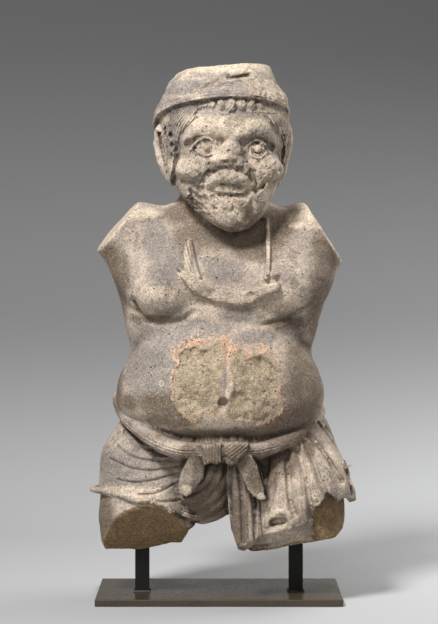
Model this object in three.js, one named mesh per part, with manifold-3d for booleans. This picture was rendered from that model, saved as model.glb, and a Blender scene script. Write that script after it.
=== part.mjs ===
// A pot-bellied yaksha carved from one block of sandstone, its arms and legs broken off,
// held up by two square steel posts that stand on a flat plate.
// Millimetres, +Z up. The figure faces -Y, and the origin is the middle of the plate's underside.
// Left and right are the viewer's: left is -X.
import * as THREE from "three";
import { mergeVertices } from "three/addons/utils/BufferGeometryUtils.js";
import { triTable } from "three/addons/objects/MarchingCubes.js";
import Module from "manifold-3d";

// The mount.
const PLATE = { width: 443, depth: 229, thickness: 12.7, chamfer: 1.2 };
const POST = { side: 25.4, halfSpacing: 140, y: -23, intoStone: 28 };
const FIT_GAP = 0.3;

// The stone's skin is sampled on a grid of this pitch, then thinned to this many triangles.
const SAMPLE = { pitch: 6, triangles: 9300 };
const STONE_BOX = { low: [-252, -192, 76], high: [274, 140, 994] };

// The rib cage: how far it reaches at each height, as [height, reach].
const RIBS = {
  left: [
    [300, -152], [380, -158], [455, -162], [500, -172], [550, -179], [600, -180], [650, -170], [690, -132],
    [725, -72],
  ],
  right: [
    [300, 158], [380, 165], [455, 170], [500, 181], [550, 188], [600, 190], [650, 180], [690, 142],
    [725, 86],
  ],
  front: [
    [300, -100], [455, -106], [520, -112], [570, -113], [610, -104], [650, -80], [690, -60], [725, -46],
  ],
  back: [[300, 84], [455, 88], [520, 97], [570, 103], [610, 104], [650, 99], [690, 86], [725, 66]],
  bottom: 300,
  top: 728,
  squareness: 2.3,
};
const NECK = [[4, 8, 640, 72], [8, -4, 760, 76]];
const COLLAR = [[-122, 6, 664, 54], [132, 6, 659, 55]];

// Each upper arm was raised, and is broken off on a slanting flat just past the shoulder.
const ARMS = [
  { bones: [[-112, 5, 600, 74], [-174, 2, 664, 58]], breakAt: [-188, 0, 678], facing: [-0.76, -0.2, 0.62] },
  { bones: [[116, 5, 584, 76], [177, 2, 656, 64]], breakAt: [193, 0, 666], facing: [0.83, -0.2, 0.52] },
];
const BREASTS = [
  { centre: [-92, -50, 571], radii: [80, 78, 70] },
  { centre: [117, -50, 570], radii: [80, 76, 69] },
];
const BELLY = { centre: [2, -42, 385], across: 189, deep: 130, up: 140, down: 98 };
const SPINE = [[5, 116, 640, 8], [5, 106, 480, 9], [5, 98, 400, 8]];
const BLADES = [[-84, 66, 600], [94, 66, 598]];
const BLADE_RADII = [66, 42, 66];

// Hips, buttocks and thighs. Both legs are broken off above the knee.
const HIPS = { centre: [4, -6, 285], radii: [170, 106, 84] };
const BUTTOCKS = [[-76, 46, 256], [88, 46, 254]];
const BUTTOCK_RADII = [92, 66, 86];
const THIGHS = {
  left: [[-98, 4, 304, 76], [-128, -18, 240, 85], [-130, -28, 150, 88], [-126, -30, 80, 84]],
  right: [[100, 4, 304, 78], [140, -20, 215, 88], [143, -26, 80, 89]],
};

// The lowest height of the stone at each x, and the slanting break across the left shin side.
const UNDERSIDE = [
  [-216, 112], [-206, 92], [-151, 92], [-121, 96], [-90, 105], [-68, 107], [-54, 133], [-21, 141], [14, 148],
  [24, 132], [38, 92], [60, 91], [150, 114], [209, 119], [224, 129], [230, 150], [236, 182],
];
const LEFT_BREAK = { at: [-131, -100, 158], facing: [0, -0.78, -0.63] };

// The head is turned a little to the right. Its own frame is u across, w to the back and t up.
const HEAD = { at: [7, -25, 820], turn: THREE.MathUtils.degToRad(7.5) };
const CAP = {
  centre: [-2, 6, 50], radii: [122, 122, 124],
  flat: 155, flatSlope: 0.06, rim: 66, rimSlope: 0.1, rimDip: 0.245,
};
const CURLS = { count: 6, spacing: 19, height: 70, radii: [11, 11, 13], reach: 106 };
const EAR = [[112, 10, 42, 13], [114, 8, 6, 14], [105, 0, -36, 11], [97, -6, -60, 7]];

// A sash is wound under the belly and knotted in front. Each point has a radius.
const SASH = [
  [18, -150, 281, 13], [-42, -143, 281, 14], [-72, -137, 283, 14], [-105, -125, 295, 15],
  [-138, -100, 314, 15],
  [-164, -60, 337, 15], [-180, -15, 358, 15], [-176, 30, 364, 15], [-140, 72, 358, 14], [-75, 90, 350, 14],
  [0, 94, 346, 14], [80, 90, 342, 14], [146, 72, 340, 14], [180, 30, 341, 13], [182, -15, 340, 13],
  [166, -60, 322, 13], [141, -98, 305, 13], [112, -121, 293, 13], [69, -138, 281, 13], [18, -150, 281, 13],
];
const KNOT = [
  { centre: [-13, -152, 277], radii: [18, 16, 20] },
  { centre: [29, -152, 283], radii: [25, 16, 13] },
  { centre: [22, -150, 265], radii: [14, 12, 10] },
];
const HANGING_ENDS = [
  [[-38, -148, 284, 14], [-43, -146, 256, 17], [-46, -142, 226, 18], [-57, -132, 203, 12]],
  [[44, -148, 270, 13], [50, -146, 244, 17], [61, -141, 216, 17], [70, -137, 200, 13]],
];
const HANGING_FLATNESS = 0.62;

// The cloth: wrapped close on the left thigh, pleated on the right one, gathered between them.
const HEM = [
  [-46, -92, 157, 8], [-69, -108, 165, 8], [-96, -117, 175, 9], [-131, -118, 186, 9], [-168, -100, 199, 9],
  [-205, -66, 204, 8], [-228, -14, 200, 8], [-212, 30, 194, 7], [-166, 62, 192, 7], [-120, 78, 190, 7],
  [-60, 74, 186, 7],
];
const HEM_FRONT = 7;
const CLOTH = { thickness: 5, top: 345 };
const FAN = {
  apex: [123, 435], first: -11, last: 30, pleats: 8, depth: 9, fullAt: 190, axis: [139, -22], round: 105,
};
const FAN_OUTSIDE = [[130, -8, 324, 58], [137, -22, 262, 92], [140, -22, 210, 115], [135, -26, 110, 110]];
const FAN_EDGE = [
  [165, 90], [168, 172], [190, 196], [200, 199], [210, 184], [225, 192], [237, 179], [262, 186],
];
const APRON = { centre: [-26, -52, 222], radii: [76, 66, 82] };
const GATHER = [[36, -114, 262, 22], [40, -110, 190, 24], [49, -104, 114, 25]];
const DRAPE = { centre: [8, 282], spacing: 21, depth: 4 };

// A worn garland on the chest, hung from a strand on each side of the neck.
const GARLAND = [
  [[-64, -114, 594, 8], [-43, -121, 572, 12], [-7, -124, 561, 12], [25, -122, 553, 13],
  [57, -122, 562, 11], [96, -126, 576, 9]],
  [[-66, -72, 662, 6], [-50, -108, 608, 7]],
  [[76, -64, 676, 6], [86, -118, 604, 6]],
  [[98, -126, 590, 8], [97, -126, 588, 8]],
];

// Signed distances are negative inside. A smooth join or cut takes the width of its blend.
const clamp = THREE.MathUtils.clamp;
const lerp = THREE.MathUtils.lerp;

function join(a, b, blend) {
  const overlap = Math.max(blend - Math.abs(a - b), 0) / blend;
  return Math.min(a, b) - (overlap * overlap * blend) / 4;
}

function cut(a, b, blend) {
  return -join(-a, b, blend);
}

function egg(x, y, z, [cx, cy, cz], [rx, ry, rz]) {
  const ax = (x - cx) / rx;
  const ay = (y - cy) / ry;
  const az = (z - cz) / rz;
  const near = Math.hypot(ax, ay, az);
  const slope = Math.hypot(ax / rx, ay / ry, az / rz);
  return slope > 1e-9 ? (near * (near - 1)) / slope : -Math.min(rx, ry, rz);
}

// A limb runs through points [x, y, z, radius].
function limb(x, y, z, points) {
  let nearest = Infinity;
  for (let i = 1; i < points.length; i++) {
    const [ax, ay, az, aRadius] = points[i - 1];
    const [bx, by, bz, bRadius] = points[i];
    const dx = bx - ax;
    const dy = by - ay;
    const dz = bz - az;
    const length2 = dx * dx + dy * dy + dz * dz;
    const along = clamp(((x - ax) * dx + (y - ay) * dy + (z - az) * dz) / length2, 0, 1);
    const gap = Math.hypot(x - ax - along * dx, y - ay - along * dy, z - az - along * dz);
    nearest = Math.min(nearest, gap - lerp(aRadius, bRadius, along));
  }
  return nearest;
}

// The distance outside a flat that goes through a point and faces a direction.
function beyond(x, y, z, [px, py, pz], [nx, ny, nz]) {
  return ((x - px) * nx + (y - py) * ny + (z - pz) * nz) / Math.hypot(nx, ny, nz);
}

// The value at a place on a line of stations [place, value], straight between stations.
function straight(place, stations) {
  let i = 1;
  while (i < stations.length - 1 && place > stations[i][0]) i++;
  const [from, low] = stations[i - 1];
  const [to, high] = stations[i];
  return lerp(low, high, clamp((place - from) / (to - from), 0, 1));
}

// The same on a smooth curve through the stations.
function smooth(place, stations) {
  const last = stations.length - 1;
  let i = 1;
  while (i < last && place > stations[i][0]) i++;
  const [from, low] = stations[i - 1];
  const [to, high] = stations[i];
  const [farBefore, before] = stations[Math.max(i - 2, 0)];
  const [farAfter, after] = stations[Math.min(i + 1, last)];
  const rise = ((high - before) / (to - farBefore)) * (to - from);
  const fall = ((after - low) / (farAfter - from)) * (to - from);
  const t = clamp((place - from) / (to - from), 0, 1);
  const square = 3 * (high - low) - 2 * rise - fall;
  const cube = 2 * (low - high) + rise + fall;
  return low + t * (rise + t * (square + t * cube));
}

function ribCage(x, y, z) {
  const left = smooth(z, RIBS.left);
  const right = smooth(z, RIBS.right);
  const front = smooth(z, RIBS.front);
  const back = smooth(z, RIBS.back);
  const across = Math.abs(x - (left + right) / 2) / ((right - left) / 2);
  const deep = Math.abs(y - (front + back) / 2) / ((back - front) / 2);
  const ratio = Math.pow(across ** RIBS.squareness + deep ** RIBS.squareness, 1 / RIBS.squareness);
  const wall = Math.hypot(x - (left + right) / 2, y - (front + back) / 2) * (1 - 1 / Math.max(ratio, 0.05));
  return cut(wall, -Math.max(z - RIBS.top, RIBS.bottom - z), 20);
}

function belly(x, y, z) {
  return egg(x, y, z, BELLY.centre, [BELLY.across, BELLY.deep, z > BELLY.centre[2] ? BELLY.up : BELLY.down]);
}

function trunk(x, y, z) {
  let d = ribCage(x, y, z);
  d = join(d, limb(x, y, z, NECK), 26);
  d = join(d, limb(x, y, z, COLLAR), 24);
  for (const { bones, breakAt, facing } of ARMS) {
    d = join(d, limb(x, y, z, bones), 34);
    d = cut(d, -beyond(x, y, z, breakAt, facing), 5);
  }
  for (const centre of BLADES) d = join(d, egg(x, y, z, centre, BLADE_RADII), 30);
  d = cut(d, limb(x, y, z, SPINE), 30);
  for (const { centre, radii } of BREASTS) d = join(d, egg(x, y, z, centre, radii), 20);
  return join(d, belly(x, y, z), 12);
}

function hips(x, y, z) {
  let d = egg(x, y, z, HIPS.centre, HIPS.radii);
  d = join(d, limb(x, y, z, THIGHS.left), 22);
  d = join(d, limb(x, y, z, THIGHS.right), 22);
  for (const centre of BUTTOCKS) d = join(d, egg(x, y, z, centre, BUTTOCK_RADII), 22);
  return d;
}

// One pleat is a round ridge between two narrow valleys: 0 in a valley and 1 on a ridge.
function ridge(turns) {
  return Math.abs(Math.sin(Math.PI * turns));
}

function fan(x, y, z) {
  const unrolled = FAN.axis[0] + FAN.round * Math.atan2(x - FAN.axis[0], FAN.axis[1] - y);
  const across = unrolled - FAN.apex[0];
  const down = FAN.apex[1] - z;
  const angle = THREE.MathUtils.radToDeg(Math.atan2(across, down));
  const turns = ((angle - FAN.first) / (FAN.last - FAN.first)) * FAN.pleats;
  const front = clamp((40 - y) / 60, 0, 1);
  const spread = clamp(Math.hypot(across, down) / FAN.fullAt - 0.4, 0, 1);
  const pleated = limb(x, y, z, FAN_OUTSIDE) + FAN.depth * (1 - ridge(turns)) * front * spread;
  return Math.max(pleated, straight(x, FAN_EDGE) - z, 45 - x);
}

function apron(x, y, z) {
  const turns = Math.hypot(x - DRAPE.centre[0], z - DRAPE.centre[1]) / DRAPE.spacing;
  const drape = egg(x, y, z, APRON.centre, APRON.radii) + DRAPE.depth * (1 - ridge(turns));
  return join(drape, limb(x, y, z, GATHER), 6);
}

function cloth(x, y, z) {
  const hem = HEM.slice(0, HEM_FRONT).map(([place, , height]) => [place, height]).reverse();
  const wrap = Math.max(limb(x, y, z, THIGHS.left) - CLOTH.thickness, straight(x, hem) - z, x - 5);
  let d = join(wrap, limb(x, y, z, HEM), 4);
  d = join(d, fan(x, y, z), 5);
  d = join(d, apron(x, y, z), 8);
  return Math.max(d, z - CLOTH.top);
}

// A strap's end is a limb that is flatter from front to back.
function strap(x, y, z, points) {
  const middle = points[1][1];
  return limb(x, middle + (y - middle) / HANGING_FLATNESS, z, points) * HANGING_FLATNESS;
}

function sash(x, y, z) {
  let d = limb(x, y, z, SASH);
  for (const { centre, radii } of KNOT) d = join(d, egg(x, y, z, centre, radii), 3);
  for (const points of HANGING_ENDS) d = join(d, strap(x, y, z, points), 4);
  return d;
}

function face(u, w, t) {
  const m = Math.abs(u);
  let d = egg(u, w, t, [0, 12, 25], [111, 110, 112]);
  d = join(d, egg(u, w, t, [2, -14, -40], [101, 100, 120]), 24);
  d = join(d, egg(u, w, t, [2, -50, -66], [84, 68, 84]), 20);
  d = join(d, egg(m, w, t, [56, -80, -48], [40, 32, 34]), 24);
  d = join(d, limb(m, w, t, [[12, -104, 20, 10], [44, -99, 27, 8], [78, -78, 16, 8]]), 18);
  d = cut(d, egg(m, w, t, [46, -122, 0], [25, 20, 13]), 8);
  d = join(d, egg(m, w, t, [46, -98, -3], [17, 17, 15]), 3);
  d = join(d, egg(u, w, t, [1, -98, -74], [48, 28, 40]), 22);
  const nose = egg(u, w, t, [2, -102, -26], [29, 30, 34]);
  d = join(d, cut(nose, -beyond(u, w, t, [2, -124, -26], [0, -1, -0.12]), 4), 10);
  d = cut(d, egg(u, w, t, [1, -134, -80], [27, 18, 10]), 5);
  d = join(d, limb(u, w, t, [[-32, -116, -80, 7], [-2, -124, -62, 9], [32, -114, -78, 7]]), 6);
  return join(d, egg(u, w, t, [4, -82, -120], [54, 40, 34]), 24);
}

function cap(u, w, t) {
  const crown = egg(u, w, t, CAP.centre, CAP.radii);
  const flat = beyond(u, w, t, [0, 0, CAP.flat], [-CAP.flatSlope, 0, 1]);
  const rim = beyond(u, w, t, [0, 0, CAP.rim], [-CAP.rimSlope, CAP.rimDip, 1]);
  return cut(cut(crown, -flat, 7), rim, 3);
}

function curls(u, w, t) {
  let d = Infinity;
  for (let i = 0; i < CURLS.count; i++) {
    const place = ((i - (CURLS.count - 1) / 2) * CURLS.spacing) / CURLS.reach;
    const centre = [CURLS.reach * Math.sin(place), -CURLS.reach * Math.cos(place), CURLS.height];
    d = Math.min(d, egg(u, w, t, centre, CURLS.radii));
  }
  return d;
}

function head(x, y, z) {
  const across = x - HEAD.at[0];
  const back = y - HEAD.at[1];
  const u = across * Math.cos(HEAD.turn) + back * Math.sin(HEAD.turn);
  const w = back * Math.cos(HEAD.turn) - across * Math.sin(HEAD.turn);
  const t = z - HEAD.at[2];
  const ear = cut(limb(Math.abs(u), w, t, EAR), egg(Math.abs(u), w, t, [121, -8, 14], [9, 10, 26]), 4);
  let d = join(face(u, w, t), ear, 5);
  d = join(d, curls(u, w, t), 2);
  return join(d, cap(u, w, t), 2);
}

function garland(x, y, z) {
  return Math.min(...GARLAND.map((points) => limb(x, y, z, points)));
}

function stone(x, y, z) {
  let d = Infinity;
  if (z < 420) d = join(hips(x, y, z), cloth(x, y, z), 3);
  if (z > 230) d = join(d, trunk(x, y, z), 8);
  if (z < 430) d = join(d, sash(x, y, z), 3);
  if (z > 620) d = join(d, head(x, y, z), 7);
  if (z > 520 && z < 700) d = join(d, garland(x, y, z), 5);
  if (z < 220) {
    if (x < 0) d = cut(d, -beyond(x, y, z, LEFT_BREAK.at, LEFT_BREAK.facing), 3);
    d = cut(d, z - straight(x, UNDERSIDE), 3);
  }
  return d;
}

// The skin of a signed distance, by marching cubes.
const CUBE_CORNERS = [[0, 0, 0], [1, 0, 0], [1, 1, 0], [0, 1, 0], [0, 0, 1], [1, 0, 1], [1, 1, 1], [0, 1, 1]];
const CUBE_EDGES = [
  [0, 1], [1, 2], [3, 2], [0, 3], [4, 5], [5, 6], [7, 6], [4, 7], [0, 4], [1, 5], [2, 6], [3, 7],
];
const TABLE_ROW = 16;

function skinOf(field, { low, high }, pitch) {
  const counts = low.map((value, axis) => Math.ceil((high[axis] - value) / pitch) + 1);
  const strides = [1, counts[0], counts[0] * counts[1]];
  const values = new Float32Array(strides[2] * counts[2]);
  const cellOf = (n) => [n % counts[0], Math.floor(n / strides[1]) % counts[1], Math.floor(n / strides[2])];
  const placeOf = (n) => cellOf(n).map((step, axis) => low[axis] + step * pitch);
  for (let n = 0; n < values.length; n++) values[n] = field(...placeOf(n));

  const offsets = CUBE_CORNERS.map(([i, j, k]) => i * strides[0] + j * strides[1] + k * strides[2]);
  const made = new Map();
  const points = [];
  const faces = [];
  const pointOn = (cell, edge) => {
    const [from, to] = CUBE_EDGES[edge].map((corner) => cell + offsets[corner]);
    const key = from * 3 + strides.indexOf(to - from);
    if (!made.has(key)) {
      const t = clamp(values[from] / (values[from] - values[to]), 0.04, 0.96);
      const end = placeOf(to);
      made.set(key, points.length);
      points.push(placeOf(from).map((value, axis) => lerp(value, end[axis], t)));
    }
    return made.get(key);
  };
  for (let cell = 0; cell < values.length; cell++) {
    if (cellOf(cell).some((step, axis) => step === counts[axis] - 1)) continue;
    let inside = 0;
    offsets.forEach((offset, corner) => {
      if (values[cell + offset] < 0) inside |= 1 << corner;
    });
    for (let n = inside * TABLE_ROW; triTable[n] !== -1; n += 3) {
      const [first, second, third] = triTable.slice(n, n + 3);
      faces.push([pointOn(cell, first), pointOn(cell, third), pointOn(cell, second)]);
    }
  }
  return { points, faces };
}

// The cheapest item comes out of the heap first.
class Heap {
  items = [];

  push(item) {
    const { items } = this;
    let at = items.push(item) - 1;
    while (at > 0) {
      const parent = (at - 1) >> 1;
      if (items[parent].cost <= items[at].cost) break;
      [items[parent], items[at]] = [items[at], items[parent]];
      at = parent;
    }
  }

  pop() {
    const { items } = this;
    const cheapest = items[0];
    const last = items.pop();
    if (!items.length) return cheapest;
    items[0] = last;
    let at = 0;
    for (;;) {
      let least = at;
      for (const child of [2 * at + 1, 2 * at + 2]) {
        if (child < items.length && items[child].cost < items[least].cost) least = child;
      }
      if (least === at) return cheapest;
      [items[least], items[at]] = [items[at], items[least]];
      at = least;
    }
  }
}

const edgeVector = new THREE.Vector3();

function normalOf([a, b, c]) {
  const normal = new THREE.Vector3(b[0] - a[0], b[1] - a[1], b[2] - a[2]);
  return normal.cross(edgeVector.set(c[0] - a[0], c[1] - a[1], c[2] - a[2]));
}

// The squared distance of a point from the planes that a quadric sums up.
function planeError(q, [x, y, z]) {
  const squares = q[0] * x * x + q[4] * y * y + q[7] * z * z + q[9];
  return squares + 2 * (q[1] * x * y + q[2] * x * z + q[3] * x + q[5] * y * z + q[6] * y + q[8] * z);
}

const LENGTH_COST = 0.02;
const LEAST_FACING = 0.25;

// Thins a closed skin by closing its cheapest edges. It stays closed, because an edge is only closed
// when its ends share two neighbours and no face would turn over.
function thin({ points, faces }, wanted) {
  const quadrics = points.map(() => new Float64Array(10));
  const around = points.map(() => new Set());
  const changes = new Uint32Array(points.length);
  const heap = new Heap();
  faces.forEach((face, index) => {
    const normal = normalOf(face.map((v) => points[v]));
    const size = normal.length();
    normal.divideScalar(size || 1);
    const { x, y, z } = normal;
    const d = -normal.dot(edgeVector.fromArray(points[face[0]]));
    const plane = [x * x, x * y, x * z, x * d, y * y, y * z, y * d, z * z, z * d, d * d];
    for (const v of face) {
      around[v].add(index);
      plane.forEach((value, n) => (quadrics[v][n] += value * size));
    }
  });
  const neighbours = (v) => new Set([...around[v]].flatMap((index) => faces[index]).filter((w) => w !== v));
  const offer = (a, b) => {
    const q = quadrics[a].map((value, n) => value + quadrics[b][n]);
    const middle = points[a].map((value, axis) => (value + points[b][axis]) / 2);
    const length = Math.hypot(...points[a].map((value, axis) => value - points[b][axis]));
    const choices = [points[a], points[b], middle].map((at) => ({ at, cost: planeError(q, at) }));
    const best = choices.reduce((least, choice) => (choice.cost < least.cost ? choice : least));
    const cost = best.cost + length * length * LENGTH_COST;
    heap.push({ a, b, at: best.at, cost, stamp: changes[a] + changes[b] });
  };
  const turnsOver = (v, gone, at) =>
    [...around[v]].some((index) => {
      if (faces[index].includes(gone)) return false;
      const before = normalOf(faces[index].map((w) => points[w]));
      const after = normalOf(faces[index].map((w) => (w === v ? at : points[w])));
      return before.dot(after) < LEAST_FACING * before.length() * after.length();
    });
  points.forEach((_, v) => neighbours(v).forEach((w) => v < w && offer(v, w)));
  let left = faces.length;
  while (left > wanted) {
    const { a, b, at, stamp } = heap.pop();
    if (stamp !== changes[a] + changes[b]) continue;
    const nearB = neighbours(b);
    if (!nearB.has(a) || [...neighbours(a)].filter((w) => nearB.has(w)).length !== 2) continue;
    if (turnsOver(a, b, at) || turnsOver(b, a, at)) continue;
    for (const index of [...around[b]]) {
      if (faces[index].includes(a)) {
        for (const w of faces[index]) around[w].delete(index);
        faces[index] = null;
        left--;
      } else {
        faces[index] = faces[index].map((w) => (w === b ? a : w));
        around[a].add(index);
      }
    }
    points[a] = at;
    quadrics[b].forEach((value, n) => (quadrics[a][n] += value));
    changes[a]++;
    changes[b]++;
    for (const w of neighbours(a)) offer(a, w);
  }
  return { points, faces: faces.filter(Boolean) };
}

function geometryOf({ points, faces }) {
  const geometry = new THREE.BufferGeometry();
  geometry.setAttribute("position", new THREE.Float32BufferAttribute(points.flat(), 3));
  geometry.setIndex(faces.flat());
  return geometry;
}

const wasm = await Module();
wasm.setup();

function solidOf(geometry) {
  const bare = new THREE.BufferGeometry();
  bare.setAttribute("position", geometry.getAttribute("position"));
  bare.setIndex(geometry.index);
  const merged = mergeVertices(bare, 1e-4);
  const vertProperties = merged.attributes.position.array;
  const triVerts = new Uint32Array(merged.index.array);
  return new wasm.Manifold(new wasm.Mesh({ numProp: 3, vertProperties, triVerts }));
}

function geometryOfSolid(solid) {
  const mesh = solid.getMesh();
  const geometry = new THREE.BufferGeometry();
  geometry.setAttribute("position", new THREE.BufferAttribute(mesh.vertProperties, 3));
  geometry.setIndex(new THREE.BufferAttribute(mesh.triVerts, 1));
  geometry.computeVertexNormals();
  return geometry;
}

function plateGeometry() {
  const { width, depth, thickness, chamfer } = PLATE;
  const outline = new THREE.Shape([
    new THREE.Vector2(-width / 2, -depth / 2),
    new THREE.Vector2(width / 2, -depth / 2),
    new THREE.Vector2(width / 2, depth / 2),
    new THREE.Vector2(-width / 2, depth / 2),
  ]);
  return new THREE.ExtrudeGeometry(outline, {
    depth: thickness - 2 * chamfer,
    bevelSize: chamfer,
    bevelOffset: -chamfer,
    bevelThickness: chamfer,
    bevelSegments: 1,
  }).translate(0, 0, chamfer);
}

// A box for a post or its socket: the socket is wider and higher by the gap.
function postGeometry(x, foot, gap) {
  const height = straight(x, UNDERSIDE) + POST.intoStone + gap - foot;
  const side = POST.side + 2 * gap;
  return new THREE.BoxGeometry(side, side, height).translate(x, POST.y, foot + height / 2);
}

const sandstone = new THREE.MeshStandardMaterial({ color: 0x9b8b7a, roughness: 0.92, metalness: 0 });
const blackSteel = new THREE.MeshStandardMaterial({ color: 0x1e1d1b, roughness: 0.45, metalness: 0.6 });
const bronzedSteel = new THREE.MeshStandardMaterial({ color: 0x5d5850, roughness: 0.38, metalness: 0.7 });

function named(name, geometry, material) {
  const mesh = new THREE.Mesh(geometry, material);
  mesh.name = name;
  return mesh;
}

const posts = { left_post: -POST.halfSpacing, right_post: POST.halfSpacing };
const postFoot = PLATE.thickness + FIT_GAP;
const skin = thin(skinOf(stone, STONE_BOX, SAMPLE.pitch), SAMPLE.triangles);
const figure = Object.values(posts).reduce(
  (solid, x) => solid.subtract(solidOf(postGeometry(x, 0, FIT_GAP))),
  solidOf(geometryOf(skin)),
);

const group = new THREE.Group();
group.add(named("yaksha_figure", geometryOfSolid(figure), sandstone));
for (const [name, x] of Object.entries(posts)) {
  group.add(named(name, postGeometry(x, postFoot, 0), blackSteel));
}
group.add(named("base_plate", plateGeometry(), bronzedSteel));

export default group;
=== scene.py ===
"""A pot-bellied yaksha carved from one block of sandstone, on two steel posts and a steel plate.

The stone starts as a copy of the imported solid. A fine grid is laid over it, and the grid is then carved:
every point is pressed onto a shape that is made of named forms, such as a belly, a sash or a pleat.
The forms are signed distances in millimetres, negative inside the stone. Finished meshes are in metres.
Left and right are the viewer's: left is -X. The figure faces -Y.
"""
import logging
import math
from collections.abc import Callable, Sequence
from dataclasses import dataclass, field
from enum import Enum

import bmesh
import bpy
import numpy as np
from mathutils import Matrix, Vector


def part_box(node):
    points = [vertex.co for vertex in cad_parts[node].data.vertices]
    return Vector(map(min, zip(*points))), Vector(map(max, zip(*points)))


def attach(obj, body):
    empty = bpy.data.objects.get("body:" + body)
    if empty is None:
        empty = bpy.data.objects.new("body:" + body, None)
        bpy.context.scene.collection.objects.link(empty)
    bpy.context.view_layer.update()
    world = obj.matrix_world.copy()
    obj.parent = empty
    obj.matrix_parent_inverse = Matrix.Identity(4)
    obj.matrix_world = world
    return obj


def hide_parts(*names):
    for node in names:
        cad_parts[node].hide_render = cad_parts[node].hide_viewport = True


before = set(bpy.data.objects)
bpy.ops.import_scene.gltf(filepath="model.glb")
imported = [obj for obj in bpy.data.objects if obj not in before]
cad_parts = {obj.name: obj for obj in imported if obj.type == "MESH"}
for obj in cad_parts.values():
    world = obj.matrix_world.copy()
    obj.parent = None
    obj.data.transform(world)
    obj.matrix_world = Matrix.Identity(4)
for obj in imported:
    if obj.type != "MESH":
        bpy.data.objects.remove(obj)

log = logging.getLogger("yaksha")

Array = np.ndarray
Spot = tuple[float, float, float]
Knot = tuple[float, float, float, float]
Flat = tuple[float, float]
Line = tuple[Flat, ...]
Chain = tuple[Knot, ...]
Mark = tuple[Line, float, float]
Rgb = tuple[float, float, float]
Socket = bpy.types.NodeSocket

MM = 0.001
FAR = 1e3


def join(a: Array, b: Array, blend: float | Array) -> Array:
    """Distance to two forms as one, with a fillet of width blend."""
    overlap = np.maximum(blend - np.abs(a - b), 0) / blend
    return np.minimum(a, b) - overlap * overlap * blend / 4


def cut(a: Array, b: Array, blend: float | Array) -> Array:
    """The first form without the second, with a rounded edge of width blend."""
    return -join(-a, b, blend)


def egg(p: Array, centre: Spot, radii: Spot) -> Array:
    """Distance to an ellipsoid.

    Args:
        p: Points, one row for each axis.
        centre: Middle of the ellipsoid.
        radii: Its three half sizes. Each may be an array, one value for each point.

    Returns:
        Distance of each point, negative inside.
    """
    scaled = [(p[i] - centre[i]) / radii[i] for i in range(3)]
    near = np.sqrt(sum(s * s for s in scaled))
    slope = np.sqrt(sum((s / r) ** 2 for s, r in zip(scaled, radii)))
    return near * (near - 1) / np.maximum(slope, 1e-6)


def block(p: Array, centre: Spot, half: Spot) -> Array:
    """Distance to an upright box from its middle and its three half sizes."""
    away = np.stack([np.abs(p[i] - centre[i]) - half[i] for i in range(3)])
    return np.sqrt((np.maximum(away, 0) ** 2).sum(0)) + np.minimum(away.max(0), 0)


def limb(p: Array, knots: Sequence[Knot]) -> Array:
    """Distance to a round limb that runs through knots, each a place and a radius."""
    return route(p, knots)[0]


def route(p: Array, knots: Sequence[Knot]) -> tuple[Array, Array]:
    """How points lie along a limb.

    Args:
        p: Points, one row for each axis.
        knots: Places on the limb's middle line, each with a radius.

    Returns:
        Distance to the limb, and the offset from its middle line.
    """
    nearest = np.full(p.shape[1], FAR, np.float32)
    offset = np.zeros_like(p)
    for (ax, ay, az, a_radius), (bx, by, bz, b_radius) in zip(knots, knots[1:]):
        run = np.array((bx - ax, by - ay, bz - az), np.float32)
        away = p - np.array((ax, ay, az), np.float32)[:, None]
        share = np.clip(run @ away / (run @ run), 0, 1)
        away -= run[:, None] * share
        gap = np.sqrt((away * away).sum(0)) - (a_radius + (b_radius - a_radius) * share)
        closer = gap < nearest
        nearest = np.where(closer, gap, nearest)
        offset = np.where(closer, away, offset)
    return nearest, offset


def beyond(p: Array, at: Spot, facing: Spot) -> Array:
    """How far points are past a flat that goes through a spot and faces a direction."""
    way = np.array(facing, np.float32) / math.hypot(*facing)
    return way @ (p - np.array(at, np.float32)[:, None])


def straight(place: Array, stations: Sequence[Flat]) -> Array:
    """The value at a place on a line of stations (place, value)."""
    places, values = zip(*stations)
    return np.interp(place, places, values).astype(np.float32)


def smooth(place: Array, stations: Sequence[Flat]) -> Array:
    """The value at a place on a smooth curve through stations (place, value)."""
    at = np.array([s[0] for s in stations], np.float32)
    value = np.array([s[1] for s in stations], np.float32)
    last = len(at) - 1
    i = np.clip(np.searchsorted(at, place), 1, last)
    before, after = np.maximum(i - 2, 0), np.minimum(i + 1, last)
    span = at[i] - at[i - 1]
    rise = (value[i] - value[before]) / (at[i] - at[before]) * span
    fall = (value[after] - value[i - 1]) / (at[after] - at[i - 1]) * span
    t = np.clip((place - at[i - 1]) / span, 0, 1)
    square = 3 * (value[i] - value[i - 1]) - 2 * rise - fall
    cube = 2 * (value[i - 1] - value[i]) + rise + fall
    return value[i - 1] + t * (rise + t * (square + t * cube))


def ease(value: Array, low: float, high: float) -> Array:
    """0 below low, 1 above high, and a soft step between. High may be the lower one."""
    t = np.clip((value - low) / (high - low), 0, 1)
    return t * t * (3 - 2 * t)


def bump(value: Array, middle: float, width: float) -> Array:
    """A soft hill of height 1 at the middle, which has died out one width away."""
    return 1 - ease(np.abs(value - middle), 0, width)


def oval(p: Array, reach: Sequence[Sequence[Flat]], squareness: float) -> Array:
    """Distance to an upright form that is an oval at every height.

    Args:
        p: Points, one row for each axis.
        reach: How far it goes left, right, to the front and back, as stations (height, place).
        squareness: 2 for an ellipse, more for a squarer one.

    Returns:
        Distance of each point, negative inside.
    """
    left, right, front, back = (smooth(p[2], stations) for stations in reach)
    aside, behind = p[0] - (left + right) / 2, p[1] - (front + back) / 2
    across, deep = np.abs(aside) * 2 / (right - left), np.abs(behind) * 2 / (back - front)
    ratio = (across**squareness + deep**squareness) ** (1 / squareness)
    return np.hypot(aside, behind) * (1 - 1 / np.maximum(ratio, 0.05))


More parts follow.
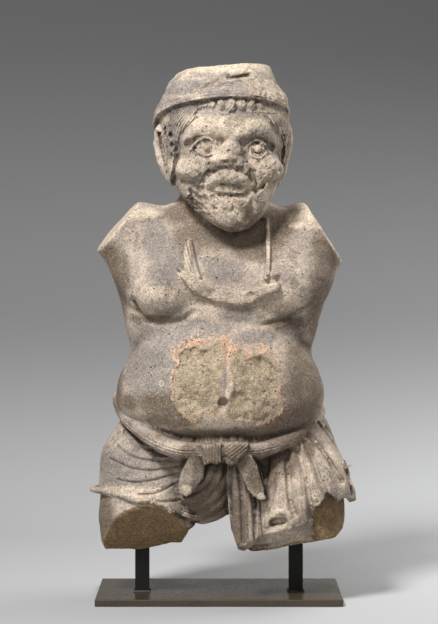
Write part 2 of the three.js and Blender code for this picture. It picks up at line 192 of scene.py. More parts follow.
def outline(across: Array, up: Array, corners: Sequence[Flat]) -> Array:
    """Distance to a closed outline seen from the front.

    Args:
        across: First coordinate of the points.
        up: Second coordinate of the points.
        corners: Corners of the outline.

    Returns:
        Distance, negative inside the outline.
    """
    inside = np.zeros(across.shape, bool)
    for (ax, az), (bx, bz) in zip(corners, [*corners[1:], corners[0]]):
        crosses = (az > up) != (bz > up)
        height = bz - az if bz != az else 1e-6
        inside ^= crosses & (across < ax + (up - az) / height * (bx - ax))
    away = stroke(across, up, [*corners, corners[0]])
    return np.where(inside, -away, away)


def stroke(across: Array, up: Array, line: Sequence[Flat]) -> Array:
    """Distance to an open line seen from the front."""
    least = np.full(across.shape, FAR * FAR, np.float32)
    for (ax, az), (bx, bz) in zip(line, line[1:]):
        run_x, run_z = bx - ax, bz - az
        share = ((across - ax) * run_x + (up - az) * run_z) / (run_x**2 + run_z**2)
        share = np.clip(share, 0, 1)
        least = np.minimum(least, (across - ax - share * run_x) ** 2 + (up - az - share * run_z) ** 2)
    return np.sqrt(least)


def notch(across: Array, up: Array, line: Sequence[Flat], width: float) -> Array:
    """A V along a line seen from the front: 1 on the line, and 0 from one width away."""
    return np.maximum(1 - stroke(across, up, line) / width, 0)


def swell(across: Array, up: Array, line: Sequence[Flat], width: float) -> Array:
    """A soft hill along a line seen from the front: 1 on the line, and 0 from one width away."""
    return bump(stroke(across, up, line), 0, width)


def strip(across: Array, up: Array, line: Sequence[Flat], half: float | Array, edge: float = 1.5) -> Array:
    """A strip along a line seen from the front: 1 inside, 0 outside, with steep edges."""
    return ease(stroke(across, up, line) - half, edge, -edge)


def slab(p: Array, corners: Sequence[Flat], front: Array, blend: float, pull: float) -> Array:
    """Distance to a flat form that has an outline seen from the front, and that reaches into the body.

    Args:
        p: Points, one row for each axis.
        corners: The outline.
        front: Where the front is, for each point.
        blend: Width of its rounded edges.
        pull: How much rather a point inside goes to the front than to a side.

    Returns:
        Distance of each point, negative inside.
    """
    side = outline(p[0], p[2], corners)
    return cut(np.where(side < 0, side * pull, side), p[1] - front, blend)


def rounded(line: Sequence[Flat], closed: bool = False, steps: int = 4) -> list[Flat]:
    """The same line through more points, on a smooth curve.

    Args:
        line: Points of the line.
        closed: Whether it ends where it starts.
        steps: How many new stretches each old one is parted into.

    Returns:
        The points of the smooth line.
    """
    ends = [line[-1], *line, line[0], line[1]] if closed else [line[0], *line, line[-1]]
    points: list[Flat] = []
    for a, b, c, d in zip(ends, ends[1:], ends[2:], ends[3:]):
        for step in range(steps):
            t = step / steps
            weights = (
                -t + 2 * t**2 - t**3,
                2 - 5 * t**2 + 3 * t**3,
                t + 4 * t**2 - 3 * t**3,
                t**3 - t**2,
            )
            quad = zip(a, b, c, d)
            points.append(tuple(sum(w * v for w, v in zip(weights, values)) / 2 for values in quad))
    return points if closed else [*points, line[-1]]


def ridge(turns: Array) -> Array:
    """A row of round ridges with narrow valleys: 0 in each valley and 1 on each ridge."""
    return np.abs(np.sin(math.pi * turns))


def near(p: Array, low: Spot, high: Spot, d: Array, shape: Callable[[Array, Array], Array]) -> Array:
    """Lets a form work only on the points inside a box.

    Args:
        p: Points, one row for each axis.
        low: Lowest corner of the box.
        high: Highest corner of the box.
        d: Distances so far.
        shape: Gets the points in the box and their distances, and gives their new distances.

    Returns:
        All distances.
    """
    inside = np.ones(p.shape[1], bool)
    for axis in range(3):
        inside &= (p[axis] > low[axis]) & (p[axis] < high[axis])
    if inside.any():
        d[inside] = shape(p[:, inside], d[inside])
    return d


class Grain:
    """Seeded solid noise from -1 to 1: random values on a lattice, with soft steps between them."""

    CELLS = 32
    TURN = np.array(((0.36, 0.48, -0.8), (-0.8, 0.6, 0.0), (0.48, 0.64, 0.6)), np.float32)

    def __init__(self, seed: int) -> None:
        """Draws the lattice, with a seed that starts the random draws."""
        draws = np.random.default_rng(seed)
        self.values = draws.uniform(-1, 1, (self.CELLS,) * 3).astype(np.float32)

    def at(self, p: Array, size: float) -> Array:
        """Noise whose lumps are about size across.

        Args:
            p: Points, one row for each axis.
            size: Spacing of the lattice.

        Returns:
            A value for each point.
        """
        q = self.TURN @ p / np.float32(size)
        cell = np.floor(q).astype(np.int32)
        t = q - cell
        t = t * t * (3 - 2 * t)
        total = np.zeros(p.shape[1], np.float32)
        for i in (0, 1):
            for j in (0, 1):
                for k in (0, 1):
                    x, y, z = ((cell[axis] + step) % self.CELLS for axis, step in enumerate((i, j, k)))
                    weight = (t[0] if i else 1 - t[0]) * (t[1] if j else 1 - t[1])
                    total += weight * (t[2] if k else 1 - t[2]) * self.values[x, y, z]
        return total

    def rough(self, p: Array, size: float, octaves: int = 3) -> Array:
        """Noise with finer and finer lumps on it."""
        return sum(self.at(p + 37 * n, size / 2**n) / 2**n for n in range(octaves))


GRAIN = Grain(1903)


@dataclass
class Torso:
    """The chest, the broken upper arms, the breasts and the belly."""

    left: Line = (
        (300, -152), (380, -158), (455, -162), (500, -172), (550, -179), (600, -180),
        (650, -170), (690, -132), (725, -72),
    )
    right: Line = (
        (300, 158), (380, 165), (455, 170), (500, 181), (550, 188), (600, 190),
        (650, 180), (690, 142), (725, 86),
    )
    front: Line = (
        (300, -100), (455, -106), (520, -112), (570, -113), (610, -104), (650, -80), (690, -60), (725, -46),
    )
    back: Line = (
        (300, 84), (455, 88), (520, 97), (570, 103), (610, 104), (650, 99), (690, 86), (725, 66),
    )
    bottom: float = 300
    top: float = 728
    squareness: float = 2.3
    neck: Chain = ((4, 8, 640, 72), (8, -4, 760, 76))
    collar: Chain = ((-122, 6, 664, 54), (132, 6, 659, 55))
    arms: tuple[tuple[tuple[Knot, Knot], Spot, Spot], ...] = (
        (((-112, 5, 600, 74), (-174, 2, 664, 58)), (-188, 0, 678), (-0.76, -0.12, 0.64)),
        (((116, 5, 584, 76), (177, 2, 656, 64)), (193, 0, 666), (0.84, -0.02, 0.54)),
    )
    creases: tuple[Mark, ...] = (
        (((-152, 546), (-132, 514), (-105, 503), (-70, 507), (-48, 522)), 11, 7),
        (((80, 502), (106, 507), (132, 521), (162, 541)), 10, 6.5),
        (((-172, 440), (-152, 454), (-142, 476), (-140, 500)), 14, 4),
        (((146, 478), (160, 462), (176, 448)), 14, 4.5),
    )
    breasts: tuple[tuple[Spot, Spot], ...] = (
        ((-92, -50, 571), (80, 78, 70)),
        ((117, -50, 570), (80, 76, 69)),
    )
    belly: Spot = (2, -42, 368)
    belly_across: float = 188
    belly_deep: float = 131
    belly_up: float = 155
    belly_down: float = 99
    spine: Chain = ((5, 116, 640, 8), (5, 106, 480, 9), (5, 98, 400, 8))
    blades: tuple[Spot, ...] = ((-84, 66, 600), (94, 66, 598))
    blade_size: Spot = (66, 42, 66)
    middle_line: Line = ((19, 540), (17, 490), (15, 440), (13, 397), (11, 379))
    navel: tuple[Spot, Spot] = ((7, -172, 367), (9, 15, 10))
    nicks: tuple[Spot, ...] = ((-100, -146, 400), (103, -135, 480), (122, -122, 468), (110, -140, 430))
    patches: tuple[Line, ...] = (
        (
            (-66, 452), (-44, 466), (-20, 460), (2, 474), (7, 440), (4, 416), (-5, 396), (3, 372), (-4, 350),
            (-26, 352), (-46, 338), (-72, 358), (-82, 386), (-77, 424),
        ),
        (
            (22, 450), (38, 458), (52, 446), (72, 452), (98, 434), (112, 404), (107, 382), (110, 362),
            (96, 342), (70, 330), (44, 336), (21, 334), (17, 370), (24, 396), (19, 424),
        ),
    )
    dents: tuple[Mark, ...] = (
        (((50, 424), (78, 436), (98, 424)), 17, 5),
        (((84, 404), (92, 380)), 12, 3),
        (((36, 376), (52, 366)), 16, 4),
        (((-54, 440), (-24, 446)), 20, 3.5),
        (((-60, 400), (-40, 392)), 14, -2.5),
        (((-58, 372), (-30, 366)), 16, 3.5),
        (((-14, 420), (-12, 380)), 12, 3),
    )

    flake_edge: float = 2.6
    flake_bed: float = 1.4
    flake_rough: float = 2.2
    flake_grain: tuple[float, float] = (15, 5.2)

    def cage(self, p: Array) -> Array:
        """Distance to the rib cage: an oval at every height, with its own reach on each side."""
        wall = oval(p, (self.left, self.right, self.front, self.back), self.squareness)
        return cut(wall, -np.maximum(p[2] - self.top, self.bottom - p[2]), 20)

    def paunch(self, p: Array) -> Array:
        """Distance to the belly, which is longer above its middle than below."""
        tall = np.where(p[2] > self.belly[2], self.belly_up, self.belly_down).astype(np.float32)
        return egg(p, self.belly, (self.belly_across, self.belly_deep, tall))

    def form(self, p: Array) -> Array:
        """Distance to the bare torso."""
        d = self.cage(p)
        d = join(d, limb(p, self.neck), 26)
        d = join(d, limb(p, self.collar), 24)
        for bones, at, facing in self.arms:
            d = join(d, limb(p, bones), 34)
            d = cut(d, -beyond(p, at, facing) + 0.8 * GRAIN.at(p, 24), 2.5)
        for centre in self.blades:
            d = join(d, egg(p, centre, self.blade_size), 30)
        d = cut(d, limb(p, self.spine), 30)
        crease = 5 + 40 * ease(p[2], 530, 590)
        for centre, radii in self.breasts:
            d = join(d, egg(p, centre, radii), crease)
        d = join(d, self.paunch(p), 12)
        d = near(p, (-190, -FAR, 430), (190, -20, 570), d, self.crease)
        return near(p, (-130, -FAR, 320), (150, -80, 545), d, self.worn_belly)

    def crease(self, p: Array, d: Array) -> Array:
        """Sharpens the creases under the breasts and at the waist."""
        for line, wide, deep in self.creases:
            away = stroke(p[0], p[2], rounded(line))
            d = d + deep * np.maximum(1 - away / wide, 0) ** 1.5 * ease(p[1], -20, -50)
        return d

    def worn_belly(self, p: Array, d: Array) -> Array:
        """Adds the belly's middle line, the navel, the nicks and the two flaked patches."""
        x, _, z = p
        line = swell(x, z, rounded(self.middle_line), 8)
        d = d + (1 + 2.6 * ease(z, 500, 450)) * line
        for patch in self.patches:
            d = self.flake(p, d, patch)
        for spot in self.nicks:
            d = cut(d, egg(p, spot, (3, 8, 3)), 1)
        return cut(d, egg(p, *self.navel), 1.5)

    def flake(self, p: Array, d: Array, patch: Sequence[Flat]) -> Array:
        """Takes a rough flake off the belly.

        Args:
            p: Points, one row for each axis.
            d: Distances so far.
            patch: Outline of the flake.

        Returns:
            The new distances.
        """
        x, _, z = p
        edge = self.patch_edge(p, patch)
        inner = ease(edge, 0, -6)
        depth = self.flake_edge * ease(edge, 1.5, -2) + self.flake_bed * ease(edge, 0, -24)
        for line, wide, deep in self.dents:
            depth = depth + deep * swell(x, z, line, wide) * inner
        wide, fine = self.flake_grain
        lumps = self.flake_rough * GRAIN.rough(p, wide, 2) + self.flake_rough * np.abs(GRAIN.at(p, fine))
        return d + depth + lumps * inner

    def patch_edge(self, p: Array, patch: Sequence[Flat]) -> Array:
        """Distance from a flake's ragged edge, negative inside the flake."""
        ragged = 4.5 * GRAIN.rough(p, 19, 2) + 2.6 * GRAIN.rough(p, 7, 2)
        return outline(p[0], p[2], rounded(patch, closed=True)) + ragged


@dataclass
class Loins:
    """The hips, the buttocks and the thighs, which are broken off above the knees."""

    hips: tuple[Spot, Spot] = ((4, -6, 285), (170, 106, 84))
    buttocks: tuple[Spot, ...] = ((-76, 46, 256), (88, 46, 254))
    buttock_size: Spot = (92, 66, 86)
    left_thigh: Chain = (
        (-98, 4, 304, 76), (-128, -18, 240, 85), (-130, -28, 150, 88), (-126, -30, 80, 84),
    )
    right_thigh: Chain = ((100, 4, 304, 78), (140, -20, 215, 88), (143, -26, 80, 89))

    def form(self, p: Array) -> Array:
        """Distance to the bare hips and thighs."""
        d = egg(p, *self.hips)
        d = join(d, limb(p, self.left_thigh), 22)
        d = join(d, limb(p, self.right_thigh), 22)
        for centre in self.buttocks:
            d = join(d, egg(p, centre, self.buttock_size), 22)
        return d


@dataclass
class Valley:
    """A valley between pleats: its line from the front, how deep it is and how wide to each side."""

    line: Line
    deep: float
    wide: float


@dataclass
class Cloth:
    """The waist cloth: close on the left thigh, pleated on the right one, gathered between them."""

    thickness: float = 5
    top: float = 345
    hem: Chain = (
        (-46, -92, 157, 5), (-69, -108, 165, 5.5), (-96, -118, 175, 6), (-131, -120, 186, 6.5),
        (-168, -102, 196, 7), (-205, -68, 200, 7), (-230, -22, 199, 7), (-214, 30, 194, 7),
        (-166, 62, 192, 7), (-120, 78, 190, 7), (-60, 74, 186, 7),
    )
    hem_front: int = 7
    hem_strand: float = 4.6
    folds: tuple[Line, ...] = (
        ((-172, 308), (-158, 294), (-141, 282), (-111, 278)),
        ((-183, 282), (-161, 268), (-138, 261), (-111, 259), (-83, 261)),
        ((-195, 259), (-163, 247), (-138, 242), (-111, 242), (-79, 249)),
        ((-181, 224), (-163, 221), (-138, 221), (-111, 226), (-70, 237)),
        ((-141, 199), (-114, 201), (-95, 209), (-68, 223)),
        ((-121, 187), (-100, 186), (-70, 188)),
    )
    fold_depth: float = 4.2
    fold_width: float = 2.8
    fan_outside: Chain = (
        (130, -8, 324, 58), (137, -22, 262, 92), (140, -22, 210, 115), (135, -26, 110, 110),
    )
    fan_edge: Line = (
        (164, 90), (168, 150), (172, 182), (190, 196), (200, 199), (210, 184), (225, 192), (237, 179),
        (262, 186),
    )
    valleys: tuple[Valley, ...] = (
        Valley(((22, 262), (21, 215), (24, 160)), 5, 5),
        Valley(((34, 250), (40, 200), (43, 118)), 6, 6),
        Valley(((55, 225), (60, 190), (64, 118)), 5, 5),
        Valley(((71, 205), (72, 160), (76, 122)), 3.5, 3.5),
        Valley(((102, 238), (97, 200), (88, 166)), 2.6, 3),
        Valley(((112, 230), (116, 190)), 2.4, 2.6),
        Valley(((118, 286), (123, 245), (126, 196), (134, 168)), 11, 9),
        Valley(((136, 294), (145, 263), (156, 220), (165, 160)), 10, 10),
        Valley(((153, 292), (169, 256), (180, 222), (194, 196)), 8, 8),
        Valley(((158, 304), (181, 282), (200, 254), (219, 222)), 8, 8),
        Valley(((178, 324), (195, 303), (216, 269), (231, 228), (238, 196)), 4, 5),
        Valley(((170, 294), (191, 264), (206, 236)), 3, 3),
        Valley(((192, 316), (212, 288), (232, 250), (243, 218)), 3, 3.5),
        Valley(((144, 240), (150, 200)), 2, 3),
    )
    pocket: Line = ((70, 268), (92, 266), (91, 244), (83, 212), (78, 232))
    pocket_depth: float = 15
    sill: Line = ((44, 108), (52, 117), (60, 122), (87, 132), (149, 150), (164, 156), (171, 165))
    hole: Line = ((88, 153), (96, 160), (110, 163), (120, 160), (122, 148), (108, 143), (92, 141))
    hole_depth: float = 17
    hole_rim: Line = ((84, 146), (90, 160), (104, 169), (120, 170), (130, 160), (126, 143))
    lumps: tuple[tuple[Flat, float, float], ...] = (
        ((168, 194), 10, 4), ((178, 184), 9, 3), ((126, 164), 8, 3), ((135, 158), 6, 2),
    )
    apron: tuple[Spot, Spot] = ((-26, -52, 222), (76, 66, 82))
    drape: Flat = (-74, 268)
    drape_spacing: float = 18
    drape_depth: float = 4.5
    gather: Chain = ((36, -114, 262, 22), (40, -110, 190, 24), (49, -104, 114, 25))

    fold_lip: float = 1.3
    hem_rib: float = 1.5
    valley_scale: float = 1.25
    fine_pleat: float = 0.7
    rim_high: float = 3
    broken_rough: float = 1.6

    def wrap(self, p: Array, thigh: Array) -> Array:
        """Distance to the cloth that lies close on the left thigh."""
        x, _, z = p
        hem = sorted((k[0], k[2]) for k in self.hem[: self.hem_front])
        sheet = np.maximum(thigh - self.thickness, np.maximum(straight(x, hem) - z, x - 5))
        band, away = route(p, self.hem)
        strands = away[2] / self.hem_strand + 0.25 * GRAIN.at(p, 30) + p[0] / 160
        return join(sheet, band + self.hem_rib * (1 - ridge(strands)), 2)

    def fan(self, p: Array) -> Array:
        """Distance to the pleats that spread from the sash over the right thigh."""
        x, y, z = p
        d = limb(p, self.fan_outside)
        d = cut(d, -beyond(p, (190, 0, 262), (0.93, 0, 0.37)) + 30, 12)
        return np.maximum(d, np.maximum(straight(x, self.fan_edge) - z, 45 - x) + 0.8 * GRAIN.at(p, 9))

    def middle(self, p: Array) -> Array:
        """Distance to the swag under the knot and the gathered pleats beside it."""
        x, _, z = p
        reach = np.hypot(x - self.drape[0], z - self.drape[1]) / self.drape_spacing
        d = egg(p, *self.apron) + self.drape_depth * (1 - ridge(reach)) * ease(x, 20, 12)
        return join(d, limb(p, self.gather), 4)

    def form(self, p: Array, thigh: Array) -> Array:
        """Distance to all of the cloth."""
        d = self.wrap(p, thigh)
        d = join(d, self.fan(p), 4)
        d = join(d, self.middle(p), 5)
        d = np.maximum(d, p[2] - self.top)
        d = near(p, (-235, -150, 170), (-50, -20, 330), d, self.fold)
        return near(p, (10, -FAR, 90), (270, 10, 335), d, self.pleat)

    def fold(self, p: Array, d: Array) -> Array:
        """Cuts the curved folds into the cloth of the left thigh, each with a lip above it."""
        x, _, z = p
        for line in self.folds:
            path = rounded(line)
            away = stroke(x, z, path) + 0.5 * GRAIN.at(p, 6)
            d = d + self.fold_depth * np.maximum(1 - away / self.fold_width, 0)
            above = straight(x, sorted(path)) < z
            d = d - self.fold_lip * bump(away, self.fold_width + 3, 5) * above
        return d

    def pleat(self, p: Array, d: Array) -> Array:
        """Cuts the valleys between the pleats, then breaks their lower ends."""
        x, y, z = p
        front = ease(y, -35, -75)
        bare = d
        for valley in self.valleys:
            away = stroke(x, z, rounded(valley.line))
            cleft = np.maximum(1 - away / valley.wide, 0) ** 1.2
            d = d + self.valley_scale * valley.deep * cleft * front
        fine = (1 - ridge((x - 140) / (3.2 + 0.035 * (330 - z)))) * ease(x, 84, 94) * ease(z, 300, 240)
        d = d + self.fine_pleat * fine * front
        d = d + self.pocket_depth * ease(outline(x, z, self.pocket), 2, -4)
        d = np.maximum(d, (bare + straight(x, self.sill) - z + 0.6 * GRAIN.at(p, 8)) / math.sqrt(2))
        d = d - self.rim_high * swell(x, z, rounded(self.hole_rim), 6) * front
        for (at_x, at_z), wide, high in self.lumps:
            d = d - high * bump(np.hypot(x - at_x, z - at_z), 0, wide) * front
        hole = outline(x, z, rounded(self.hole, closed=True)) + GRAIN.at(p, 8)
        d = d + self.hole_depth * ease(hole, 1, -7) * front
        return d + self.broken_rough * GRAIN.rough(p, 9, 2) * self.broken_ends(p)

    def broken_ends(self, p: Array) -> Array:
        """Where the pleats' lower ends are broken, from 0 to 1."""
        x, y, z = p
        here = strip(x, z, rounded(self.hole_rim), 5, 4)
        for (at_x, at_z), wide, _ in self.lumps:
            here = np.maximum(here, ease(np.hypot(x - at_x, z - at_z), wide + 4, wide))
        sill = straight(x, self.sill) - z
        here = np.maximum(here, 0.5 * ease(sill, -4, 2) * (x > 46) * (x < 172))
        return here * (y < -30)


@dataclass
class Sash:
    """The sash that is wound under the belly, its knot and its two hanging ends."""

    band: Chain = (
        (18, -150, 281, 13), (-42, -143, 281, 15), (-72, -137, 283, 16), (-105, -125, 295, 17),
        (-138, -100, 314, 17), (-164, -60, 337, 17), (-180, -15, 358, 16), (-176, 30, 364, 15),
        (-140, 72, 358, 14), (-75, 90, 350, 14), (0, 94, 346, 14), (80, 90, 342, 14), (146, 72, 340, 14),
        (180, 30, 341, 13), (182, -15, 340, 13), (166, -60, 322, 13), (141, -98, 305, 13),
        (112, -121, 293, 13), (69, -138, 281, 13), (18, -150, 281, 13),
    )
    rib_angle: float = 18
    rib_depth: float = 3.0
    left_loop: Line = ((-31, 294), (5, 297), (5, 264), (-4, 259), (-14, 262), (-25, 258), (-29, 268))
    right_loop: Line = ((6, 297), (30, 299), (52, 296), (50, 282), (36, 268), (20, 270), (8, 276))
    small_loop: Line = ((9, 272), (24, 274), (35, 268), (30, 260), (20, 256), (12, 262))
    loop_rib: float = 5.4
    right_end: Line = (
        (28, 266), (40, 238), (50, 212), (63, 197), (72, 192), (83, 195), (80, 212), (73, 234), (68, 256),
        (57, 276), (42, 282),
    )
    left_end: Line = (
        (-30, 294), (-50, 292), (-58, 262), (-67, 240), (-73, 218), (-69, 203), (-58, 198), (-44, 210),
        (-29, 232), (-25, 260),
    )
    left_ridge: tuple[Flat, Flat] = ((200, -52), (292, -42))
    worn_tips: Line = ((-63, 209), (76, 198))
    pull: float = 1

    def wind(self, p: Array) -> Array:
        """Distance to the sash that is wound round the body."""
        d, away = route(p, rounded(self.band, steps=2))
        out = away[0] * p[0] / 180 + away[1] * (p[1] + 20) / 120
        angle = np.degrees(np.arctan2(away[2], out))
        ribs = 1 - ridge(angle / self.rib_angle + 0.12 * GRAIN.at(p, 40))
        d = d + self.rib_depth * ribs * ease(angle, 22, 6)
        bed = limb(p, [(0.92 * x, 0.87 * y, z - 3, radius + 4) for x, y, z, radius in self.band])
        return join(d, bed, 3)

    def knot(self, p: Array, d: Array) -> Array:
        """Adds the three loops of the knot and the two hanging ends."""
        x, _, z = p
        for corners, turns, middle, front in (
            (self.left_loop, x / self.loop_rib, -13, -170),
            (self.right_loop, (x * 0.62 - z * 0.78) / self.loop_rib, 28, -171),
            (self.small_loop, (x * 0.7 + z * 0.7) / self.loop_rib, 22, -166),
        ):
            ribs = (1.7 + 0.6 * GRAIN.at(p, 12)) * (1 - ridge(turns + 0.2 * GRAIN.at(p, 20)))
            face = front + 0.014 * (x - middle) ** 2 + ribs + 0.1 * (294 - z)
            d = join(d, slab(p, corners, face, 6, self.pull), 1.5)
        face = -160 + 0.25 * (290 - z) + 0.30 * np.abs(x - straight(z, self.left_ridge))
        face = face + 0.8 * GRAIN.at(p, 14)
        d = join(d, slab(p, self.left_end, face, 5, self.pull), 2)
        face = -157 + 0.16 * (280 - z) + 0.006 * (x - 58) ** 2 + 0.8 * GRAIN.rough(p, 12, 2)
        d = join(d, slab(p, self.right_end, face, 3, self.pull), 2)
        for at_x, at_z in self.worn_tips:
            worn = bump(np.hypot(x - at_x, z - at_z), 0, 16) * (p[1] < -100)
            d = d + worn * (2 + 2.4 * GRAIN.rough(p, 10, 2))
        return d


@dataclass
class Face:
    """The face, in the head's own frame: eroded, with the nose broken off and the mouth open.

    What is the same on both sides is laid out by side, the distance from the middle of the face.
    """

    middle: float = 2
    roll: float = 0.03
    left: Line = (
        (-153, 2), (-147, -12), (-135, -34), (-114, -57), (-96, -74), (-80, -84), (-50, -92), (-10, -97),
        (25, -104), (60, -106), (100, -92),
    )
    right: Line = (
        (-153, 20), (-147, 36), (-134, 52), (-120, 66), (-97, 79), (-77, 90), (-59, 95), (-20, 102),
        (25, 109), (60, 110), (100, 98),
    )
    front: Line = (
        (-153, -84), (-147, -94), (-135, -103), (-115, -110), (-97, -113), (-70, -114), (-40, -112),
        (0, -110), (25, -110), (60, -104), (100, -84),
    )
    back: Line = (
        (-153, -62), (-147, -50), (-135, -34), (-115, -12), (-97, 8), (-80, 28), (-50, 68), (0, 105),
        (25, 112), (60, 110), (100, 90),
    )
    squareness: float = 2.15
    chin_flat: tuple[Spot, Spot] = ((-30, -100, -136), (-0.5, -0.2, -0.84))
    cheek: tuple[Spot, Spot] = ((62, -77, -41), (34, 33, 25))
    brow: Line = ((2, 15), (20, 22), (42, 30), (62, 27), (80, 10))
    brow_high: float = 7.5
    socket: Line = ((14, 4), (26, 12), (46, 15), (66, 12), (80, 0), (66, -14), (46, -21), (27, -14))
    pits: Line = ((21, 7), (73, 4))
    eye_ball: tuple[Spot, Spot] = ((47, -91, -3), (15, 15, 14))
    iris: float = 8.5
    upper_lid: Line = ((23, -6), (34, 7), (47, 12), (59, 8), (71, -8))
    lower_lid: Line = ((24, -7), (34, -14), (47, -19), (58, -15), (66, -8))
    nose: Chain = ((2, -101, 10, 12), (0, -107, -12, 22), (-3, -103, -31, 36))
    nose_break: tuple[Spot, Spot] = ((0, -133, -20), (0, -0.95, -0.3))
    nose_band: Line = ((-30, -33), (-8, -30), (14, -27))
    nose_hole: tuple[Spot, Spot] = ((24, -122, -42), (10, 12, 9))
    lip: Chain = (
        (-42, -96, -79, 7), (-36, -105, -65, 10), (-21, -113, -57, 12), (0, -115, -56, 12),
        (19, -113, -59, 12), (31, -106, -69, 9), (34, -99, -81, 6),
    )
    lip_crease: Line = ((-46, -66), (-34, -50), (-18, -42), (8, -41), (26, -47), (38, -60))
    tongue: tuple[Spot, Spot] = ((-1, -95, -77), (31, 18, 14))
    slit: Line = ((-33, -82), (-20, -87), (8, -88), (30, -87))
    slit_deep: float = 6
    corners: Chain = ((-33, -114, -78, 6), (29, -114, -83, 4.5))
    lower_lip: Line = ((4, -91), (18, -90), (33, -91), (37, -100), (31, -109), (16, -114), (7, -106))
    lower_lip_high: float = 8
    side_ridge: Line = ((40, -82), (46, -98), (47, -116))
    cheek_lines: tuple[Mark, ...] = (
        (((-30, -40), (-42, -56), (-52, -76)), 9, 7.5),
        (((-92, -60), (-72, -66), (-52, -70)), 11, 4),
        (((28, -40), (40, -58), (44, -80)), 9, 6),
        (((44, -79), (58, -70), (62, -58)), 6, 4),
        (((-30, -92), (-6, -90), (4, -96), (6, -112)), 8, 4),
    )
    chipped: Line = (
        (-70, -78), (-52, -72), (-34, -86), (-22, -94), (-20, -110), (-40, -116), (-66, -110),
    )
    crack: Line = ((-70, -80), (-58, -92), (-46, -98), (-36, -108), (-26, -112))
    rough_spots: Chain = (
        (2, -24, 34, 1), (-60, -38, 34, 0.8), (62, -44, 40, 0.9), (0, -60, 36, 0.7), (4, -116, 52, 0.9),
        (38, -100, 34, 0.9), (6, 34, 24, 0.6), (50, 24, 26, 0.9), (-46, 26, 28, 0.8), (-46, -96, 34, 1),
    )

    brow_wide: float = 20
    socket_deep: float = 7
    pit_deep: float = 10
    pit_wide: float = 9
    iris_high: float = 1.5
    iris_wide: float = 2.8
    ball_rough: float = 1.9
    lid_high: float = 6
    lid_wide: float = 4.6
    nose_band_deep: float = 3
    nose_band_wide: float = 7
    lip_crease_deep: float = 5
    lip_crease_wide: float = 8
    side_ridge_high: float = 4
    side_ridge_wide: float = 8
    slit_wide: float = 5
    chip_deep: float = 4
    chip_rough: float = 3.2
    crack_deep: float = 4.5
    crack_wide: float = 4.5
    worn_rough: float = 1.8
    worn_pits: float = 5

    def skull(self, q: Array) -> Array:
        """Distance to the bare head."""
        d = oval(q, (self.left, self.right, self.front, self.back), self.squareness)
        return cut(cut(d, q[2] + 152, 6), 100 - q[2], 20)

    def form(self, q: Array, skull: Array) -> Array:
        """Distance to the head without hair, ears and cap."""
        m = np.stack((np.abs(q[0] - self.middle), q[1], q[2]))
        d = join(skull, egg(m, *self.cheek), 18)
        d = cut(d, -beyond(q, *self.chin_flat), 4)
        return near(q, (-100, -170, -154), (100, -30, 66), d, self.features)

    def features(self, q: Array, d: Array) -> Array:
        """Adds what is modelled on the front of the face."""
        u, w = q[0], q[1]
        t = q[2] + self.roll * (u - self.middle)
        side = np.abs(u - self.middle)
        front = ease(w, -40, -75)
        d = d - self.brow_high * swell(side, t, rounded(self.brow), self.brow_wide) * front
        hollow = outline(side, t, rounded(self.socket, closed=True))
        d = d + self.socket_deep * ease(hollow, 3, -7) * front
        for at_side, up in self.pits:
            away = np.hypot((side - at_side) * 0.8, t - up)
            d = d + self.pit_deep * bump(away, 0, self.pit_wide) * front
        for line, wide, deep in self.cheek_lines:
            d = d + deep * swell(u, t, rounded(line), wide) * front
        d = self.look(np.stack((side, w, t)), d, front)
        broken = -beyond(q, *self.nose_break) + 1.2 * GRAIN.rough(q, 9, 2)
        broken = broken - self.nose_band_deep * swell(u, t, self.nose_band, self.nose_band_wide)
        d = join(d, cut(limb(q, self.nose), broken, 4), 5)
        d = cut(d, egg(q, *self.nose_hole), 3)
        level = np.stack((u, w, t))
        d = d + self.lip_crease_deep * swell(u, t, rounded(self.lip_crease), self.lip_crease_wide) * front
        d = join(d, egg(level, *self.tongue), 2)
        d = join(d, limb(level, self.lip) + 0.9 * GRAIN.rough(q, 10, 2), 1.5)
        lower = outline(u, t, rounded(self.lower_lip, closed=True))
        d = d - self.lower_lip_high * ease(lower + 1.5 * GRAIN.at(q, 9), 1, -8) ** 0.7 * front
        d = d - self.side_ridge_high * swell(u, t, self.side_ridge, self.side_ridge_wide) * front
        d = d + self.slit_deep * swell(u, t, rounded(self.slit), self.slit_wide) * front
        for corner in self.corners:
            d = cut(d, egg(level, corner[:3], (corner[3], 8, corner[3])), 2)
        chip = outline(u, t, rounded(self.chipped, closed=True)) + 3 * GRAIN.rough(q, 12, 2)
        d = d + (self.chip_deep + self.chip_rough * GRAIN.rough(q, 12, 2)) * ease(chip, 1.5, -2.5) * front
        d = d + self.crack_deep * notch(u, t + 2 * GRAIN.at(q, 9), self.crack, self.crack_wide) * front
        pitted = self.worn_pits * np.maximum(GRAIN.at(q, 5) - 0.3, 0)
        return d + self.wear(u, t) * front * (self.worn_rough * GRAIN.rough(q, 8, 3) + pitted)

    def look(self, m: Array, d: Array, front: Array) -> Array:
        """Adds an eye: the ball with a shallow ring, and the two lids."""
        side, _, t = m
        centre, _ = self.eye_ball
        from_eye = np.hypot(side - centre[0], t - centre[2])
        ball = egg(m, *self.eye_ball) + self.iris_high * bump(from_eye, self.iris, self.iris_wide)
        d = join(d, ball + self.ball_rough * GRAIN.rough(m, 7, 2), 1)
        for lid in (self.upper_lid, self.lower_lid):
            away = stroke(side, t, rounded(lid)) + 0.8 * GRAIN.at(m, 6)
            d = d - (self.lid_high + 2 * GRAIN.at(m, 11)) * bump(away, 0, self.lid_wide) * front
        return d

    def wear(self, u: Array, t: Array) -> Array:
        """How rough the face is worn, from 0 to 1."""
        rough = np.zeros_like(u)
        for across, up, wide, share in self.rough_spots:
            rough = np.maximum(rough, share * ease(np.hypot(u - across, t - up), wide, wide * 0.6))
        return rough


